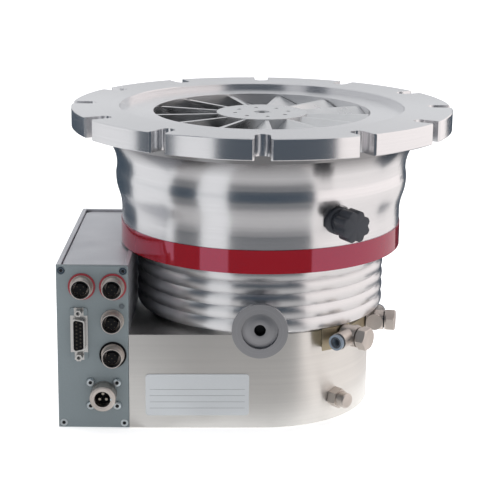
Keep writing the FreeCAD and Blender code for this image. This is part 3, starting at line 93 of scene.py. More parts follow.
# Places of the reflection cards: azimuths in degrees from -Y towards +X, radii and heights in metres
CARD_STEP = 4.0
CARD_FOOT = 0.001
FOOT_BLEND = (0.07, 0.16)
INNER_RADIUS = 0.11
FLAG_RADIUS = 0.42
BACK_FLAG_RADIUS = 0.62
WARM_RADIUS = 0.9
WHITE_RADIUS = FLOOR_SIZE / 3
WARM_SECTOR = (37.0, 148.0)
WARM_TOP = 1.4
FRONT_FLAGS = ((-22.5, 36.5, 1.1), (-65.5, -43.5, 1.1))
BACK_FLAGS = ((-158.0, -112.0, 0.2), (139.0, 196.0, 0.2))
HIGH_FLAG = (130.0, 196.0, 0.10, 0.25)
HIGH_FLAG_RADIUS = 0.61
BACK_FLOORS = ((104.0, 196.0, 0.24, 0.38), (137.0, 196.0, 0.38, 0.62), (-158.0, -115.0, 0.42, 0.62))
WHITE_LAYER = 0.0006
WARM_LAYER = 0.0009
GREY_LAYER = 0.0012
DARK_LAYER = 0.0015

# Finishes: how far a noise usually reaches, and how much of the angle joins a turned pattern
NOISE_REACH = (0.3, 0.7)
ANGLE_SHARE = 0.0006
PANEL_COLOR = (0.178, 0.214, 0.228)

# Painted shade that darkens the housing just under the inlet flange, in metres: its radius, and where it
# starts, is full and ends
NECK_RADIUS = 0.1262
NECK_START = 0.1925
NECK_FULL = 0.2045
NECK_END = 0.2113
NECK_PAINTED_SHADE = 0.62

# Painted corners of the upright connector's flange, in metres from its middle and its front
PAINT_ALONG = 0.0138
PAINT_ACROSS = 0.0034
PAINT_DEPTH = 0.0045

# Directions, steps round a turned detail, largest angle in degrees that is shaded smooth, and the
# distance in metres within which points merge
FRONT = (0.0, -1.0, 0.0)
BACK = (0.0, 1.0, 0.0)
UP = (0.0, 0.0, 1.0)
STEPS = 48
SMOOTH = 30.0
MERGE = 0.000001

# Sizes of the details, in millimetres from here on. A turned profile is a row of (radius, distance)
# points. Thin details reach this deep into what carries them:
SINK = -0.1

# Round sockets: centres as (x, z), thread and ring of contacts
SOCKETS = ((-127.8, 107.9), (-105.5, 107.9), (-106.0, 82.5), (-106.0, 56.7))
THREAD_RIDGES = 6
THREAD_PITCH = 1.05
THREAD_ROOT = (7.22, 0.9)
THREAD_CREST = (7.5, 1.42)
THREAD_END = 7.2
SOCKET_LIP = ((5.95, -1.0), (5.95, 0.04), (6.65, 0.04), (6.65, -0.02))
CONTACTS = 4
CONTACT_CIRCLE = 3.1
CONTACT = ((0.0, 0.5), (0.4, 0.4), (0.5, SINK))
CONTACT_STEPS = 12

# Upright connector: centre, columns as (side, number of contacts), and the rim of each contact
REMOTE = (-130.1, 72.5)
REMOTE_COLUMNS = ((-1.42, 8), (1.42, 7))
REMOTE_PITCH = 2.74
REMOTE_CONTACT = ((0.28, SINK), (0.32, 0.06), (0.62, 0.06), (0.66, SINK))

# Large supply connector: centre, spacing of its screws, and turned profiles
SUPPLY = (-112.8, 26.9)
SUPPLY_SCREWS = (19.3, 17.8)
SUPPLY_LIP = ((8.2, -0.02), (8.0, 0.12), (7.0, 0.12), (6.6, -0.02))
SUPPLY_GROOVE = ((9.33, -10.4), (9.38, -10.5), (9.38, -10.8), (9.33, -10.9))
SUPPLY_KEY = ((-0.5, -0.8), (0.5, -0.8), (0.5, 0.8), (-0.5, 0.8))
SUPPLY_KEY_SIDE = 6.1
SUPPLY_KEY_DEPTHS = (-2.0, 0.14)

# Screws of the panel and of the supply connector: turned profiles, and (radius, top) of their hexagons
PANEL_SCREW_INSET = 3.7
PANEL_SCREW_TOP = ((1.35, 0.02), (1.5, 0.05), (2.5, 0.05), (2.75, 0.0))
PANEL_SCREW_RING = ((1.35, 0.02), (1.5, 0.06), (2.55, 0.06), (2.75, 0.0))
PANEL_SCREW_SOCKET = (1.4, 0.03)
SUPPLY_SCREW_DOME = ((3.12, -1.6), (3.12, -0.9), (2.8, -0.25), (2.2, 0.04), (1.5, 0.06))
SUPPLY_SCREW_SOCKET = (1.5, 0.05)

# Foreline port: centre, face of its bore, and the hole behind it
PORT = (0.0, 82.0)
PORT_DISC = ((13.08, -3.0), (12.9, -2.7), (9.0, -2.55), (8.7, -2.45), (4.6, -2.35), (4.25, -2.4), (4.1, -2.7))
PORT_THROAT = ((4.1, -2.7), (4.1, -9.0), (0.0, -9.0))
PORT_STEPS = 96

# Vent knob: axis and height, star outline, and both ends as (share of the radius, distance)
VENT_AXIS = (0.5, -0.8660254, 0.0)
VENT_HEIGHT = 160.0
KNOB_RADIUS = 11.45
KNOB_LOBES = 8
KNOB_DIP = 1.7
DIP_SHARPNESS = 1.7
LOBE_STEPS = 16
KNOB_REAR = ((0.0, 0.0), (0.93, 0.0), (1.0, 0.9))
KNOB_FACE = ((1.0, -0.7), (0.975, -0.25), (0.92, 0.0), (0.0, 0.0))
KNOB_SMOOTH = 40.0

# Rings in the release collars of the water fittings, and the depth that counts as a collar's rim
COLLAR_RING = ((2.9, -0.4), (2.95, 0.03), (4.3, 0.03), (4.35, SINK))
RIM_DEPTH = 0.1

# Lid of the electronics box, from its front edge and from its back left corner
LID_STRIP = (0.1, 5.0)
LID_STRIP_TOP = 0.12
LID_SEAM = (5.0, 5.7)
LID_SEAM_TOP = 0.02
LID_CORNER = ((-5.5, 0.0), (-0.2, 0.0), (-0.2, -4.5))

# Rules of the rating plate: heights over its middle, and how much of its width they fill
BASE_TURN = 2.0
RULES = (4.2, -0.6, -5.4, -10.2)
RULE_SHARE = 0.92
RULE_HALF = 0.13
RULE_LIFT = 0.2
RULE_DEPTHS = (-0.02, 0.03)


# Procedural finishes

class Finish:
    """One procedural material. Object coordinates are the row frame, in metres."""

    def __init__(self, name, color, metallic=0.0, roughness=0.5, **constants):
        self.material = bpy.data.materials.new(name)
        self.material.use_nodes = True
        self.material.diffuse_color = (*color, 1.0)
        self.tree = self.material.node_tree
        self.tree.nodes.clear()
        self.color = color
        self.shader = self.node("ShaderNodeBsdfPrincipled")
        self.set("Base Color", (*color, 1.0))
        self.set("Metallic", metallic)
        self.set("Roughness", roughness)
        for key, value in constants.items():
            self.set(key.replace("_", " ").title().replace("Ior", "IOR"), value)
        output = self.node("ShaderNodeOutputMaterial")
        self.join(self.shader.outputs[0], output.inputs["Surface"])
        self.object_place = None

    def node(self, kind, **settings):
        made = self.tree.nodes.new(kind)
        for key, value in settings.items():
            setattr(made, key, value)
        return made

    def join(self, output, socket):
        self.tree.links.new(output, socket)

    def set(self, socket, value):
        self.shader.inputs[socket].default_value = value

    def math(self, operation, first, second=0.0, clamp=False):
        made = self.node("ShaderNodeMath", operation=operation, use_clamp=clamp)
        for socket, value in zip(made.inputs, (first, second)):
            if isinstance(value, (int, float)):
                socket.default_value = value
            else:
                self.join(value, socket)
        return made.outputs[0]

    def sum(self, first, first_share, second, second_share):
        """Adds two factors, each times its share."""
        return self.math("ADD", self.math("MULTIPLY", first, first_share),
                         self.math("MULTIPLY", second, second_share))

    def place(self):
        """Position on the object, in metres."""
        if self.object_place is None:
            self.object_place = self.node("ShaderNodeTexCoord").outputs["Object"]
        return self.object_place

    def split(self, vector):
        """The three parts of a vector."""
        parts = self.node("ShaderNodeSeparateXYZ")
        self.join(vector, parts.inputs[0])
        return parts.outputs

    def stretched(self, x, y, z):
        """Position with each axis scaled."""
        mapping = self.node("ShaderNodeMapping")
        mapping.inputs["Scale"].default_value = (x, y, z)
        self.join(self.place(), mapping.inputs["Vector"])
        return mapping.outputs[0]

    def turned_place(self, across=(0, 1), along=2, centre=(0.0, 0.0), angle_share=ANGLE_SHARE):
        """Position as (radius, height, a little of the angle) about an axis through a centre."""
        parts = self.split(self.place())
        first, second = (self.math("SUBTRACT", parts[k], middle) for k, middle in zip(across, centre))
        square = self.math("ADD", self.math("MULTIPLY", first, first), self.math("MULTIPLY", second, second))
        angle = self.math("MULTIPLY", self.math("ARCTAN2", second, first), angle_share)
        made = self.node("ShaderNodeCombineXYZ")
        for socket, output in zip(made.inputs, (self.math("SQRT", square), parts[along], angle)):
            self.join(output, socket)
        return made.outputs[0]

    def lean_on_rings(self):
        """Turns the stretched reflections along circles about the main axis."""
        tangent = self.node("ShaderNodeTangent", direction_type="RADIAL", axis="Z")
        self.join(tangent.outputs[0], self.shader.inputs["Tangent"])

    def noise(self, vector, scale, detail=2.0, rough=0.5):
        made = self.node("ShaderNodeTexNoise")
        made.inputs["Scale"].default_value = scale
        made.inputs["Detail"].default_value = detail
        made.inputs["Roughness"].default_value = rough
        self.join(vector, made.inputs["Vector"])
        return made.outputs["Fac"]

    def cells(self, vector, scale):
        made = self.node("ShaderNodeTexVoronoi")
        made.inputs["Scale"].default_value = scale
        self.join(vector, made.inputs["Vector"])
        return made.outputs["Distance"]

    def spread(self, factor, low, high, start=0.0, end=1.0):
        """Maps a factor between start and end to low and high."""
        made = self.node("ShaderNodeMapRange")
        for socket, value in zip(("From Min", "From Max", "To Min", "To Max"), (start, end, low, high)):
            made.inputs[socket].default_value = value
        self.join(factor, made.inputs["Value"])
        return made.outputs["Result"]

    def vary(self, noise, low, high):
        """Maps the usual reach of a noise to low and high."""
        return self.spread(noise, low, high, *NOISE_REACH)

    def blend(self, factor, first, second):
        """Mixes two colours, each a triple or an output."""
        made = self.node("ShaderNodeMix", data_type="RGBA")
        self.join(factor, made.inputs["Factor"])
        for socket, value in ((made.inputs[6], first), (made.inputs[7], second)):
            if isinstance(value, tuple):
                socket.default_value = (*value, 1.0)
            else:
                self.join(value, socket)
        return made.outputs[2]

    def shade(self, noise, low, high):
        """The finish's own colour, darker and lighter with a noise."""
        dark = tuple(c * low for c in self.color)
        light = tuple(min(c * high, 1.0) for c in self.color)
        return self.blend(self.vary(noise, 0.0, 1.0), dark, light)

    def edge(self, radius):
        """Normal that is rounded at edges."""
        made = self.node("ShaderNodeBevel", samples=4)
        made.inputs["Radius"].default_value = radius
        return made.outputs["Normal"]

    def wear(self, radius, strength):
        """0 on flat surfaces, rising at edges."""
        plain_normal = self.node("ShaderNodeNewGeometry").outputs["Normal"]
        dot = self.node("ShaderNodeVectorMath", operation="DOT_PRODUCT")
        self.join(self.edge(radius), dot.inputs[0])
        self.join(plain_normal, dot.inputs[1])
        away = self.math("SUBTRACT", 1.0, dot.outputs["Value"])
        return self.math("MULTIPLY", away, strength, clamp=True)

    def bump(self, height, strength, distance, edge):
        """Normal with a fine relief, over edges rounded to a radius."""
        made = self.node("ShaderNodeBump")
        made.inputs["Strength"].default_value = strength
        made.inputs["Distance"].default_value = distance
        self.join(height, made.inputs["Height"])
        if edge:
            self.join(self.edge(edge), made.inputs["Normal"])
        return made.outputs["Normal"]

    def use(self, color, roughness=None, normal=None):
        for socket, output in (("Base Color", color), ("Roughness", roughness), ("Normal", normal)):
            if output is not None:
                self.join(output, self.shader.inputs[socket])
        return self.material


def turned_metal(name, color, roughness, lean=0.8, lines=1400.0, depth=0.0000012, neck=False):
    """Metal turned on a lathe about the main axis: fine rings, with reflections drawn out across them."""
    finish = Finish(name, color, metallic=1.0, roughness=roughness, anisotropic=lean,
                    anisotropic_rotation=0.25)
    finish.lean_on_rings()
    place = finish.turned_place()
    fine = finish.noise(place, lines, detail=3.0, rough=0.6)
    wide = finish.noise(place, lines / 9)
    cloud = finish.noise(finish.place(), 14.0, detail=3.0)
    rings = finish.sum(fine, 0.6, wide, 0.4)
    tone = finish.blend(cloud, finish.shade(rings, 0.97, 1.03), finish.shade(fine, 0.94, 1.01))
    # Painted shade: the housing gets darker towards the inlet flange, just below it
    if neck:
        radius, height, _ = finish.split(place)
        near = finish.math("LESS_THAN", radius, NECK_RADIUS)
        under = finish.math("LESS_THAN", height, NECK_END)
        climb = finish.spread(height, 0.0, NECK_PAINTED_SHADE, NECK_START, NECK_FULL)
        shadow = finish.math("MULTIPLY", finish.math("MULTIPLY", climb, under), near)
        tone = finish.blend(shadow, tone, (0.0, 0.0, 0.0))
    gloss = finish.math("ADD", finish.vary(wide, roughness - 0.012, roughness + 0.015),
                        finish.vary(cloud, -0.01, 0.015))
    return finish.use(tone, gloss, finish.bump(rings, 0.3, depth, edge=0.0003))


def brushed_metal(name, color, roughness, lean, stretch):
    """Metal brushed along the horizontal, with long fine scratches."""
    finish = Finish(name, color, metallic=1.0, roughness=roughness, anisotropic=lean,
                    anisotropic_rotation=0.25)
    finish.lean_on_rings()
    scratches = finish.noise(finish.stretched(*stretch), 1.0, detail=4.0, rough=0.7)
    streaks = finish.noise(finish.stretched(*(scale * 0.22 for scale in stretch)), 1.0)
    cloud = finish.noise(finish.place(), 22.0, detail=4.0)
    both = finish.sum(scratches, 0.6, streaks, 0.4)
    tone = finish.blend(cloud, finish.shade(both, 0.94, 1.06), finish.shade(streaks, 0.93, 1.0))
    gloss = finish.math("ADD", finish.vary(both, roughness - 0.06, roughness + 0.08),
                        finish.vary(cloud, -0.02, 0.04))
    return finish.use(tone, gloss, finish.bump(both, 0.25, 0.00003, edge=0.0004))


def cast_metal(name, color, roughness, grain=900.0, depth=0.00002, metallic=1.0, mottle=0.12):
    """Small milled, plated or drawn metal parts: fine grain, cloudy tone and bright worn edges."""
    finish = Finish(name, color, metallic=metallic, roughness=roughness)
    fine = finish.noise(finish.place(), grain, detail=3.0)
    cloud = finish.noise(finish.place(), grain / 12, detail=4.0)
    tone = finish.shade(cloud, 1.0 - mottle, 1.0 + mottle)
    bright = tuple(min(1.0, c * 1.35 + 0.05) for c in color)
    tone = finish.blend(finish.wear(0.00032, 1.2), tone, bright)
    gloss = finish.vary(cloud, roughness - 0.07, roughness + 0.08)
    return finish.use(tone, gloss, finish.bump(fine, 0.3, depth, edge=0.0002))


def painted(name, color, roughness=0.45, grain=1600.0, depth=0.00004, metallic=0.0):
    """Powder coated sheet: fine orange peel, faint smudges, rubbed edges."""
    finish = Finish(name, color, metallic=metallic, roughness=roughness)
    peel = finish.noise(finish.place(), grain)
    speck = finish.noise(finish.place(), grain * 2.5, detail=1.0)
    smudge = finish.noise(finish.place(), 30.0, detail=3.0)
    tone = finish.blend(smudge, finish.shade(speck, 0.95, 1.04), finish.shade(peel, 0.92, 1.03))
    rubbed = tuple(min(1.0, c * 1.5 + 0.08) for c in color)
    tone = finish.blend(finish.wear(0.0005, 0.9), tone, rubbed)
    gloss = finish.vary(smudge, roughness - 0.08, roughness + 0.1)
    return finish.use(tone, gloss, finish.bump(peel, 0.3, depth, edge=0.0005))


def moulded(name, color, roughness, **more):
    """Moulded plastic with a fine grain, and a painted sheen on the edges, where the colour is lighter."""
    finish = Finish(name, color, roughness=roughness, **more)
    grit = finish.cells(finish.place(), 1200.0)
    cloud = finish.noise(finish.place(), 90.0, detail=3.0)
    # Painted highlight: a lighter colour at the edges gives them a sheen
    painted_edge_sheen = tuple(c * 1.5 + 0.01 for c in color)
    tone = finish.blend(finish.wear(0.0003, 0.5), finish.shade(cloud, 0.86, 1.1), painted_edge_sheen)
    gloss = finish.vary(cloud, roughness - 0.08, roughness + 0.08)
    return finish.use(tone, gloss, finish.bump(grit, 0.25, 0.00004, edge=0.0003))


def gloss_band(name, color, sheen):
    """Glossy film: even red whose reflections take a pink tint."""
    finish = Finish(name, color, roughness=0.06, ior=2.25, specular_tint=(*sheen, 1.0))
    wave = finish.noise(finish.stretched(30.0, 30.0, 60.0), 1.0)
    speck = finish.noise(finish.place(), 2600.0, detail=1.0)
    tone = finish.blend(wave, finish.shade(speck, 0.95, 1.05), finish.shade(speck, 0.9, 1.0))
    return finish.use(tone, finish.vary(wave, 0.05, 0.09), finish.bump(wave, 0.1, 0.00006, edge=0.0003))


def port_metal(name, color):
    """Face turned about the port's own axis."""
    finish = Finish(name, color, metallic=1.0, roughness=0.42)
    low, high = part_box("foreline_port")
    centre = ((low.x + high.x) / 2, (low.z + high.z) / 2)
    place = finish.turned_place(across=(0, 2), along=1, centre=centre, angle_share=0.0)
    rings = finish.noise(place, 1600.0, detail=3.0)
    wide = finish.noise(place, 260.0)
    cloud = finish.noise(finish.place(), 60.0, detail=3.0)
    tone = finish.blend(cloud, finish.shade(rings, 0.9, 1.08), finish.shade(wide, 0.88, 1.05))
    return finish.use(tone, finish.vary(wide, 0.36, 0.5), finish.bump(rings, 0.3, 0.00003, edge=0.0003))


def shell_metal(name, color):
    """Plated steel of the upright connector. The corners of its flange are painted like the panel."""
    finish = Finish(name, color, metallic=1.0, roughness=0.3)
    low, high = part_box("remote_shell")
    x, y, z = finish.split(finish.place())
    across = finish.math("ABSOLUTE", finish.math("SUBTRACT", x, (low.x + high.x) / 2))
    along = finish.math("ABSOLUTE", finish.math("SUBTRACT", z, (low.z + high.z) / 2))
    corner = finish.math("MULTIPLY", finish.math("GREATER_THAN", along, PAINT_ALONG),
                         finish.math("GREATER_THAN", across, PAINT_ACROSS))
    paint = finish.math("MULTIPLY", corner, finish.math("GREATER_THAN", y, low.y + PAINT_DEPTH))
    cloud = finish.noise(finish.place(), 90.0, detail=4.0)
    fine = finish.noise(finish.place(), 1000.0, detail=3.0)
    tone = finish.blend(paint, finish.shade(cloud, 0.85, 1.1), PANEL_COLOR)
    finish.join(finish.math("SUBTRACT", 1.0, paint), finish.shader.inputs["Metallic"])
    gloss = finish.math("ADD", finish.vary(cloud, 0.24, 0.36), finish.math("MULTIPLY", paint, 0.15))
    return finish.use(tone, gloss, finish.bump(fine, 0.3, 0.00002, edge=0.0002))


def circuit_green(name, color):
    """Lacquered circuit board with a pattern of small cells."""
    finish = Finish(name, color, roughness=0.3, coat_weight=0.5, coat_roughness=0.2)
    tracks = finish.cells(finish.place(), 260.0)
    tone = finish.shade(tracks, 0.7, 1.25)
    return finish.use(tone, finish.spread(tracks, 0.22, 0.4), finish.bump(tracks, 0.2, 0.00005, edge=None))


FINISH_TABLE = {
    "turned_aluminium": (turned_metal, (0.80, 0.80, 0.815),
                         dict(roughness=0.245, lean=0.78, depth=0.0000008, neck=True)),
    "ribbed_aluminium": (turned_metal, (0.77, 0.77, 0.78), dict(roughness=0.30, lean=0.9, lines=1800.0)),
    "rotor_aluminium": (cast_metal, (0.66, 0.665, 0.675),
                        dict(roughness=0.32, grain=700.0, depth=0.000003, metallic=0.8, mottle=0.06)),
    "base_aluminium": (brushed_metal, (0.79, 0.775, 0.745),
                       dict(roughness=0.34, lean=0.8, stretch=(18.0, 18.0, 1500.0))),
    "band": (gloss_band, (0.245, 0.0004, 0.0006), dict(sheen=(1.0, 0.50, 0.76))),
    "port_metal": (port_metal, (0.47, 0.475, 0.495), {}),
    "nickel": (cast_metal, (0.62, 0.57, 0.53), dict(roughness=0.42)),
    "brass": (cast_metal, (0.40, 0.35, 0.25), dict(roughness=0.42)),
    "steel_screws": (cast_metal, (0.40, 0.41, 0.43), dict(roughness=0.36)),
    "connector_steel": (shell_metal, (0.60, 0.59, 0.57), {}),
    "contacts": (cast_metal, (0.36, 0.33, 0.28), dict(roughness=0.35)),
    "shaft_steel": (turned_metal, (0.50, 0.50, 0.52), dict(roughness=0.2)),
    "magnet_steel": (cast_metal, (0.20, 0.18, 0.16), dict(roughness=0.5)),
    "panel_paint": (painted, PANEL_COLOR, {}),
    "box_metal": (painted, (0.64, 0.645, 0.675),
                  dict(roughness=0.42, grain=1900.0, depth=0.0000015, metallic=0.85)),
    "plate": (painted, (0.60, 0.625, 0.645), dict(roughness=0.35, grain=2200.0, depth=0.00001, metallic=0.4)),
    "knob_plastic": (moulded, (0.030, 0.034, 0.044), dict(roughness=0.5)),
    "collar_plastic": (moulded, (0.19, 0.235, 0.29), dict(roughness=0.38)),
    "black_plastic": (moulded, (0.004, 0.004, 0.005), dict(roughness=0.6, specular_ior_level=0.12)),
    "red_plastic": (moulded, (0.30, 0.018, 0.030), dict(roughness=0.45)),
    "seals": (moulded, (0.018, 0.018, 0.020), dict(roughness=0.6)),
    "board": (circuit_green, (0.02, 0.15, 0.06), {}),
    "light": (moulded, (0.07, 0.09, 0.105), dict(roughness=0.15, coat_weight=1.0)),
    # Collar plastic darkened by painted shade
    "dark_collar": (moulded, (0.035, 0.045, 0.060), dict(roughness=0.45)),
    "plate_ink": (painted, (0.22, 0.235, 0.25), dict(roughness=0.5)),
    # Near black: painted shade in holes, grooves, the port's bore and the lid's open corner, and the dark lid
    # seam
    "dark_recess": (moulded, (0.008, 0.010, 0.013), dict(roughness=0.6, specular_ior_level=0.2)),
    # Screw heads darkened by painted shade
    "blued_screw": (cast_metal, (0.085, 0.115, 0.145), dict(roughness=0.5)),
    "bright_screw": (cast_metal, (0.60, 0.66, 0.69), dict(roughness=0.35)),
    # Contact metal darkened by painted shade, for contacts deep in their sockets
    "dim_contacts": (cast_metal, (0.10, 0.09, 0.07), dict(roughness=0.4)),
}
FINISHES = {name: maker(name, color, **settings) for name, (maker, color, settings) in FINISH_TABLE.items()}


def dress_frame():
    """Gives every CAD node the finish of its material slot."""
    for row in frame["record"]["subparts"]:
        mesh = nodes[row["node"]].data
        mesh.materials.clear()
        mesh.materials.append(FINISHES[row["material_slot"]])


# Fine detail on the front panel, the port and the fittings

def basis(axis):
    """Two directions across an axis."""
    axis = Vector(axis).normalized()
    helper = Vector(UP) if abs(axis.z) < 0.9 else Vector((1, 0, 0))
    side = axis.cross(helper).normalized()
    return side, axis.cross(side)


class Detail:
    """One small piece that rides on a body. Sizes are given in millimetres."""

    def __init__(self, name, finish, body="pump"):
        self.name = name
        self.finish = finish
        self.body = body
        self.points = []
        self.faces = []

    def lathe(self, origin, axis, profile, steps=STEPS, wave=None):
        """Revolves (radius, distance along the axis) points about the axis.

        With a wave, each radius is a share of the wave's value at the angle."""
        origin = Vector(origin)
        along = Vector(axis).normalized()
        side, up = basis(axis)
        first = len(self.points)
        rows = len(profile)
        for step in range(steps):
            angle = 2 * math.pi * step / steps
            way = side * math.cos(angle) + up * math.sin(angle)
            if wave is not None:
                way = way * wave(angle)
            self.points += [origin + way * radius + along * reach for radius, reach in profile]
        for step in range(steps):
            here = first + step * rows
            there = first + (step + 1) % steps * rows
            self.faces += [(here + k, there + k, there + k + 1, here + k + 1) for k in range(rows - 1)]

    def prism(self, origin, axis, outline, low, high):
        """Pushes an outline of (side, up) points along the axis and closes both ends."""
        origin = Vector(origin)
        along = Vector(axis).normalized()
        side, up = basis(axis)
        first = len(self.points)
        count = len(outline)
        for reach in (low, high):
            self.points += [origin + side * x + up * y + along * reach for x, y in outline]
        for k in range(count):
            after = (k + 1) % count
            self.faces.append((first + k, first + after, first + count + after, first + count + k))
        self.faces.append(tuple(range(first, first + count)))
        self.faces.append(tuple(range(first + count, first + 2 * count)))

    def make(self, smooth=SMOOTH, replaced=()):
        """Builds the mesh, smooth over edges up to an angle, and lets it ride on its body."""
        mesh = bpy.data.meshes.new(self.name)
        mesh.from_pydata([point * MM for point in self.points], [], self.faces)
        grown = bmesh.new()
        grown.from_mesh(mesh)
        bmesh.ops.remove_doubles(grown, verts=grown.verts, dist=MERGE)
        bmesh.ops.recalc_face_normals(grown, faces=grown.faces)
        for edge in grown.edges:
            edge.smooth = len(edge.link_faces) == 2 and edge.calc_face_angle(0.0) < math.radians(smooth)
        for face in grown.faces:
            face.smooth = True
        grown.to_mesh(mesh)
        grown.free()
        mesh.materials.append(FINISHES[self.finish])
        made = bpy.data.objects.new(self.name, mesh)
        bpy.context.scene.collection.objects.link(made)
        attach(made, self.body)
        if replaced:
            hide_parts(*replaced)


def front_of(node):
    """Foremost place of a node."""
    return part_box(node)[0].y / MM


def hexagon(holes, place, size):
    """Adds a hexagon socket, given as (radius, top), to the holes."""
    radius, top = size
    angles = [math.pi * k / 3 for k in range(6)]
    outline = [(radius * math.cos(a), radius * math.sin(a)) for a in angles]
    holes.prism(place, FRONT, outline, SINK, top)


def socket_details():
    """Threads, inner lips and contacts of the four round sockets; the lips and contacts are darkened as
    painted shade.
    """
    face = front_of("round_sockets")
    floor = front_of("socket_inserts")
    threads = Detail("socket_threads", "nickel")
    # Painted shade: the inner lips are near black
    lips = Detail("socket_lips", "dark_recess")
    # Painted shade: these contacts are much darker than the contact metal
    contacts = Detail("socket_contacts", "dim_contacts")
    ridges = [(radius, start + THREAD_PITCH * k) for k in range(THREAD_RIDGES)
              for radius, start in (THREAD_ROOT, THREAD_CREST)]
    for x, z in SOCKETS:
        threads.lathe((x, face, z), BACK, ridges + [(THREAD_ROOT[0], THREAD_END)])
        lips.lathe((x, face, z), FRONT, SOCKET_LIP)
        for k in range(CONTACTS):
            angle = 2 * math.pi * (k + 0.5) / CONTACTS
            place = (x + CONTACT_CIRCLE * math.cos(angle), floor, z + CONTACT_CIRCLE * math.sin(angle))
            contacts.lathe(place, FRONT, CONTACT, CONTACT_STEPS)
        contacts.lathe((x, floor, z), FRONT, CONTACT, CONTACT_STEPS)
    threads.make()
    lips.make()
    contacts.make()


def remote_details():
    """Two columns of contacts in the upright connector."""
    floor = front_of("remote_insert")
    # Painted shade: these contacts are much darker than the contact metal
    contacts = Detail("remote_contacts", "dim_contacts")
    for side, count in REMOTE_COLUMNS:
        for k in range(count):
            rise = (k - (count - 1) / 2) * REMOTE_PITCH
            contacts.lathe((REMOTE[0] + side, floor, REMOTE[1] + rise), FRONT, REMOTE_CONTACT, CONTACT_STEPS)
    contacts.make()


def screw_details():
    """Rings, domes and hexagon sockets of the panel's and the supply connector's screws."""
    low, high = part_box("electronics_panel")
    left, right = low.x / MM + PANEL_SCREW_INSET, high.x / MM - PANEL_SCREW_INSET
    bottom, top = low.z / MM + PANEL_SCREW_INSET, high.z / MM - PANEL_SCREW_INSET
    face = front_of("panel_screws")
    # Painted shade: the top screws get a darker, bluish finish for the shade they sit in
    dark = Detail("panel_screw_tops", "blued_screw")
    light = Detail("panel_screw_rings", "bright_screw")
    # Painted shade: dark hexagons stand in for the sockets of the screws
    holes = Detail("screw_sockets", "dark_recess")
    for x in (left, right):
        dark.lathe((x, face, top), FRONT, PANEL_SCREW_TOP)
        light.lathe((x, face, bottom), FRONT, PANEL_SCREW_RING)
        for z in (bottom, top):
            hexagon(holes, (x, face, z), PANEL_SCREW_SOCKET)
    heads = front_of("supply_screws")
    domes = Detail("supply_screw_domes", "bright_screw")
    for side in (-0.5, 0.5):
        for rise in (-0.5, 0.5):
            place = (SUPPLY[0] + side * SUPPLY_SCREWS[0], heads, SUPPLY[1] + rise * SUPPLY_SCREWS[1])
            domes.lathe(place, FRONT, SUPPLY_SCREW_DOME)
            hexagon(holes, place, SUPPLY_SCREW_SOCKET)
    dark.make()
    light.make()
    domes.make()
    holes.make()


def supply_details():
    """Bevelled lip, groove and key of the supply connector."""
    x, z = SUPPLY
    face = front_of("supply_socket")
    lip = Detail("supply_lip", "nickel")
    lip.lathe((x, face, z), FRONT, SUPPLY_LIP)
    lip.make()
    # Painted shade: a dark band stands in for the groove
    groove = Detail("supply_groove", "dark_recess")
    groove.lathe((x, face, z), FRONT, SUPPLY_GROOVE)
    groove.make()
    key = Detail("supply_key", "bright_screw")
    key.prism((x + SUPPLY_KEY_SIDE, face, z), FRONT, SUPPLY_KEY, *SUPPLY_KEY_DEPTHS)
    key.make()


def port_details():
    """Face of the port's bore: a shallow turned disc with a round hole."""
    place = (PORT[0], front_of("foreline_port"), PORT[1])
    disc = Detail("port_disc", "port_metal")
    disc.lathe(place, FRONT, PORT_DISC, PORT_STEPS)
    disc.make()
    # Painted shade: the hole behind the disc is near black
    throat = Detail("port_throat", "dark_recess")
    throat.lathe(place, FRONT, PORT_THROAT)
    throat.make()


def star(angle):
    """Radius of the star knob at an angle: rounded lobes with narrow dips between them."""
    dip = (0.5 + 0.5 * math.cos(KNOB_LOBES * angle)) ** DIP_SHARPNESS
    return KNOB_RADIUS - KNOB_DIP * dip


def knob_details():
    """Star knob in the place of the plain one, with a chamfer at both ends."""
    axis = Vector(VENT_AXIS)
    reach = [vertex.co.dot(axis) for vertex in nodes["vent_knob"].data.vertices]
    low, high = min(reach) / MM, max(reach) / MM
    profile = [(share, end + step) for end, rows in ((low, KNOB_REAR), (high, KNOB_FACE))
               for share, step in rows]
    knob = Detail("star_knob", "knob_plastic", "vent_screw")
    knob.lathe((0.0, 0.0, VENT_HEIGHT), VENT_AXIS, profile, KNOB_LOBES * LOBE_STEPS, star)
    knob.make(KNOB_SMOOTH, ("vent_knob",))


def collar_details():
    """Ring of painted shade round the tube opening of the two release collars."""
    for node, body in (("release_collar_front", "collar_front"), ("release_collar_rear", "collar_rear")):
        joint = next(j for j in frame["joints"] if j["child"] == body)
        out = -Vector(joint["axis"]).normalized()
        places = [vertex.co / MM for vertex in nodes[node].data.vertices]
        reach = max(place.dot(out) for place in places)
        rim = [place for place in places if place.dot(out) > reach - RIM_DEPTH]
        # Painted shade: a darker ring of the collar's plastic round the tube opening
        ring = Detail(node + "_ring", "dark_collar", body)
        ring.lathe(sum(rim, Vector()) / len(rim), out, COLLAR_RING)
        ring.make()


def lid_details():
    """Front strip, seam and open back corner of the box's lid; the open corner is a dark piece of painted
    shade.
    """
    low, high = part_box("electronics_lid")
    left, right, front, back = low.x / MM, high.x / MM, low.y / MM, high.y / MM
    place = (0.0, 0.0, high.z / MM)

    def bar(start, end):
        """Outline across the lid between two distances behind its front edge."""
        start, end = front + start, front + end
        return [(start, -left), (start, -right), (end, -right), (end, -left)]

    strip = Detail("lid_strip", "box_metal")
    strip.prism(place, UP, bar(*LID_STRIP), SINK, LID_STRIP_TOP)
    strip.make()
    seam = Detail("lid_seam", "dark_recess")
    seam.prism(place, UP, bar(*LID_SEAM), SINK, LID_SEAM_TOP)
    # Painted shade: a dark piece stands for the gap at the open back left corner
    seam.prism(place, UP, [(back + y, -left + x) for y, x in LID_CORNER], SINK, LID_SEAM_TOP)
    seam.make()


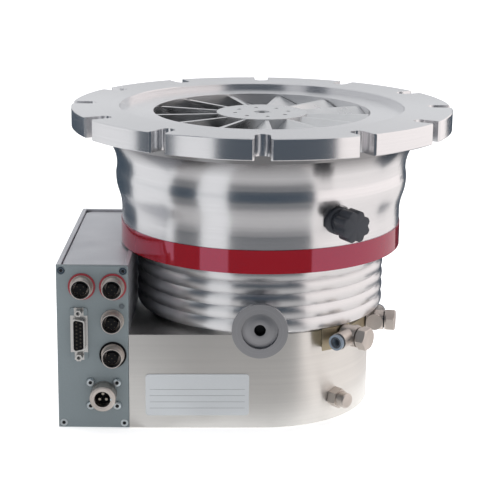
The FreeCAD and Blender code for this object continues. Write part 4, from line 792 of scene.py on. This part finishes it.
def plate_details():
    """Thin blank rules on the rating plate, which stands square to the turned front of the base."""
    low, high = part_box("rating_plate")
    turn = math.radians(BASE_TURN)
    centre = (low + high) / 2 / MM
    outward = Vector((math.sin(turn), -math.cos(turn), 0.0))
    half = (high.x - low.x) / 2 / MM / math.cos(turn) * RULE_SHARE
    corners = [(-half, -RULE_HALF), (half, -RULE_HALF), (half, RULE_HALF), (-half, RULE_HALF)]
    rules = Detail("plate_rules", "plate_ink")
    for rise in RULES:
        rules.prism(centre + Vector((0, 0, rise)) + outward * RULE_LIFT, outward, corners, *RULE_DEPTHS)
    rules.make()


# Studio

def plain(name, color):
    """Even light for a reflector."""
    material = bpy.data.materials.new(name)
    material.use_nodes = True
    tree = material.node_tree
    tree.nodes.clear()
    glow = tree.nodes.new("ShaderNodeEmission")
    glow.inputs["Color"].default_value = (*color, 1.0)
    output = tree.nodes.new("ShaderNodeOutputMaterial")
    tree.links.new(glow.outputs[0], output.inputs["Surface"])
    return material


def foot_light(name, foot, top, low, high):
    """Even light for a reflector that turns from one tone to another between two heights."""
    material = plain(name, top)
    tree = material.node_tree
    parts = tree.nodes.new("ShaderNodeSeparateXYZ")
    tree.links.new(tree.nodes.new("ShaderNodeTexCoord").outputs["Object"], parts.inputs[0])
    climb = tree.nodes.new("ShaderNodeMapRange")
    climb.interpolation_type = "SMOOTHSTEP"
    climb.inputs["From Min"].default_value = low
    climb.inputs["From Max"].default_value = high
    tree.links.new(parts.outputs[2], climb.inputs["Value"])
    mix = tree.nodes.new("ShaderNodeMix")
    mix.data_type = "RGBA"
    mix.inputs[6].default_value = (*foot, 1.0)
    mix.inputs[7].default_value = (*top, 1.0)
    tree.links.new(climb.outputs["Result"], mix.inputs["Factor"])
    glow = next(node for node in tree.nodes if node.type == "EMISSION")
    tree.links.new(mix.outputs[2], glow.inputs["Color"])
    return material


def staged(name, points, faces, material):
    """Mesh that belongs to the studio and not to the object."""
    mesh = bpy.data.meshes.new(name)
    mesh.from_pydata(points, [], faces)
    mesh.materials.append(material)
    made = bpy.data.objects.new(name, mesh)
    bpy.context.scene.collection.objects.link(made)
    return made


def card(name, start, end, low, high, material):
    """Curved card between two azimuths that shows in reflections only.

    low and high are the (radius, height) of its two edges, so it may stand up or lie flat."""
    steps = max(2, round(abs(end - start) / CARD_STEP))
    points, faces = [], []
    for step in range(steps + 1):
        angle = math.radians(start + (end - start) * step / steps)
        points += [(math.sin(angle) * radius, -math.cos(angle) * radius, height)
                   for radius, height in (low, high)]
    for step in range(steps):
        base = 2 * step
        faces.append((base, base + 2, base + 3, base + 1))
    made = staged(name, points, faces, material)
    made.visible_camera = False
    made.visible_diffuse = False
    made.visible_shadow = False
    made.visible_transmission = False
    made.visible_volume_scatter = False
    return made


def upright(name, start, end, radius, low, high, material):
    """Card that stands between two heights."""
    card(name, start, end, (radius, low), (radius, high), material)


def lying(name, start, end, inner, outer, height, material):
    """Card that lies between two radii."""
    card(name, start, end, (inner, height), (outer, height), material)


def backdrop():
    """White wall far behind the floor that only the camera sees."""
    reach = FLOOR_SIZE / 2 - WALL_INSET
    wall = card("backdrop", 0.0, 360.0, (reach, WALL_FOOT), (reach, reach), plain("wall", WHITE))
    wall.visible_camera = True
    wall.visible_glossy = False


def floor():
    """Pale floor that glows a little, so that it stays as bright as the world."""
    paint = Finish("floor", FLOOR_COLOR, roughness=0.9)
    paint.use(paint.shade(paint.noise(paint.place(), 3.0), 0.99, 1.01))
    paint.set("Emission Color", (*WHITE, 1.0))
    paint.set("Emission Strength", FLOOR_GLOW)
    half = FLOOR_SIZE / 2
    corners = [(-half, -half, 0), (half, -half, 0), (half, half, 0), (-half, half, 0)]
    staged("floor", corners, [(0, 1, 2, 3)], paint.material)


def world():
    """Even, slightly cool light from all round."""
    made = bpy.data.worlds.new("studio")
    bpy.context.scene.world = made
    made.use_nodes = True
    background = made.node_tree.nodes["Background"]
    background.inputs["Color"].default_value = (*WORLD_COLOR, 1.0)
    background.inputs["Strength"].default_value = WORLD_STRENGTH


def lamp():
    """Soft light from above."""
    data = bpy.data.lights.new("overhead", "AREA")
    data.shape = "DISK"
    data.size = LAMP_SIZE
    data.energy = LAMP_POWER
    made = bpy.data.objects.new("overhead", data)
    made.location = LAMP_PLACE
    made.rotation_euler = (-Vector(LAMP_PLACE)).to_track_quat("-Z", "Y").to_euler()
    made.visible_glossy = False
    bpy.context.scene.collection.objects.link(made)


def reflection_cards():
    """Cards that give the metal its dark, grey and warm zones."""
    front = foot_light("front_card", FLAG_FOOT, DARK_FLAG, *FOOT_BLEND)
    grey = plain("grey_card", GREY_FLAG)
    for number, (start, end, top) in enumerate(FRONT_FLAGS):
        upright(f"flag_front_{number}", start, end, FLAG_RADIUS, CARD_FOOT, top, front)
        lying(f"floor_flag_{number}", start, end, INNER_RADIUS, FLAG_RADIUS, GREY_LAYER, grey)
    white = plain("white_card", WHITE_FLOOR)
    lying("floor_flag_white", -180.0, 180.0, INNER_RADIUS, WHITE_RADIUS, WHITE_LAYER, white)
    upright("flag_warm", *WARM_SECTOR, WARM_RADIUS, CARD_FOOT, WARM_TOP, plain("warm_card", WARM_CARD))
    warm = plain("warm_floor", WARM_FLOOR)
    lying("floor_flag_warm", *WARM_SECTOR, INNER_RADIUS, WARM_RADIUS, WARM_LAYER, warm)
    dark = plain("dark_card", DARK_FLAG)
    for number, (start, end, top) in enumerate(BACK_FLAGS):
        upright(f"flag_back_{number}", start, end, BACK_FLAG_RADIUS, CARD_FOOT, top, dark)
    start, end, low, high = HIGH_FLAG
    upright("flag_high", start, end, HIGH_FLAG_RADIUS, low, high, dark)
    for number, (start, end, inner, outer) in enumerate(BACK_FLOORS):
        lying(f"floor_flag_back_{number}", start, end, inner, outer, DARK_LAYER, dark)


def camera():
    """Camera where the photograph was taken from."""
    data = bpy.data.cameras.new("camera")
    data.lens = LENS
    data.sensor_width = SENSOR
    made = bpy.data.objects.new("camera", data)
    tilt = Matrix.Rotation(math.radians(90 - CAMERA_PITCH), 4, "X")
    roll = Matrix.Rotation(math.radians(CAMERA_ROLL), 4, "Z")
    made.matrix_world = Matrix.Translation(CAMERA_PLACE) @ tilt @ roll
    bpy.context.scene.collection.objects.link(made)
    bpy.context.scene.camera = made


dress_frame()
socket_details()
remote_details()
screw_details()
supply_details()
port_details()
knob_details()
collar_details()
lid_details()
plate_details()
world()
floor()
backdrop()
reflection_cards()
lamp()
camera()
bpy.context.scene.view_settings.view_transform = "Standard"
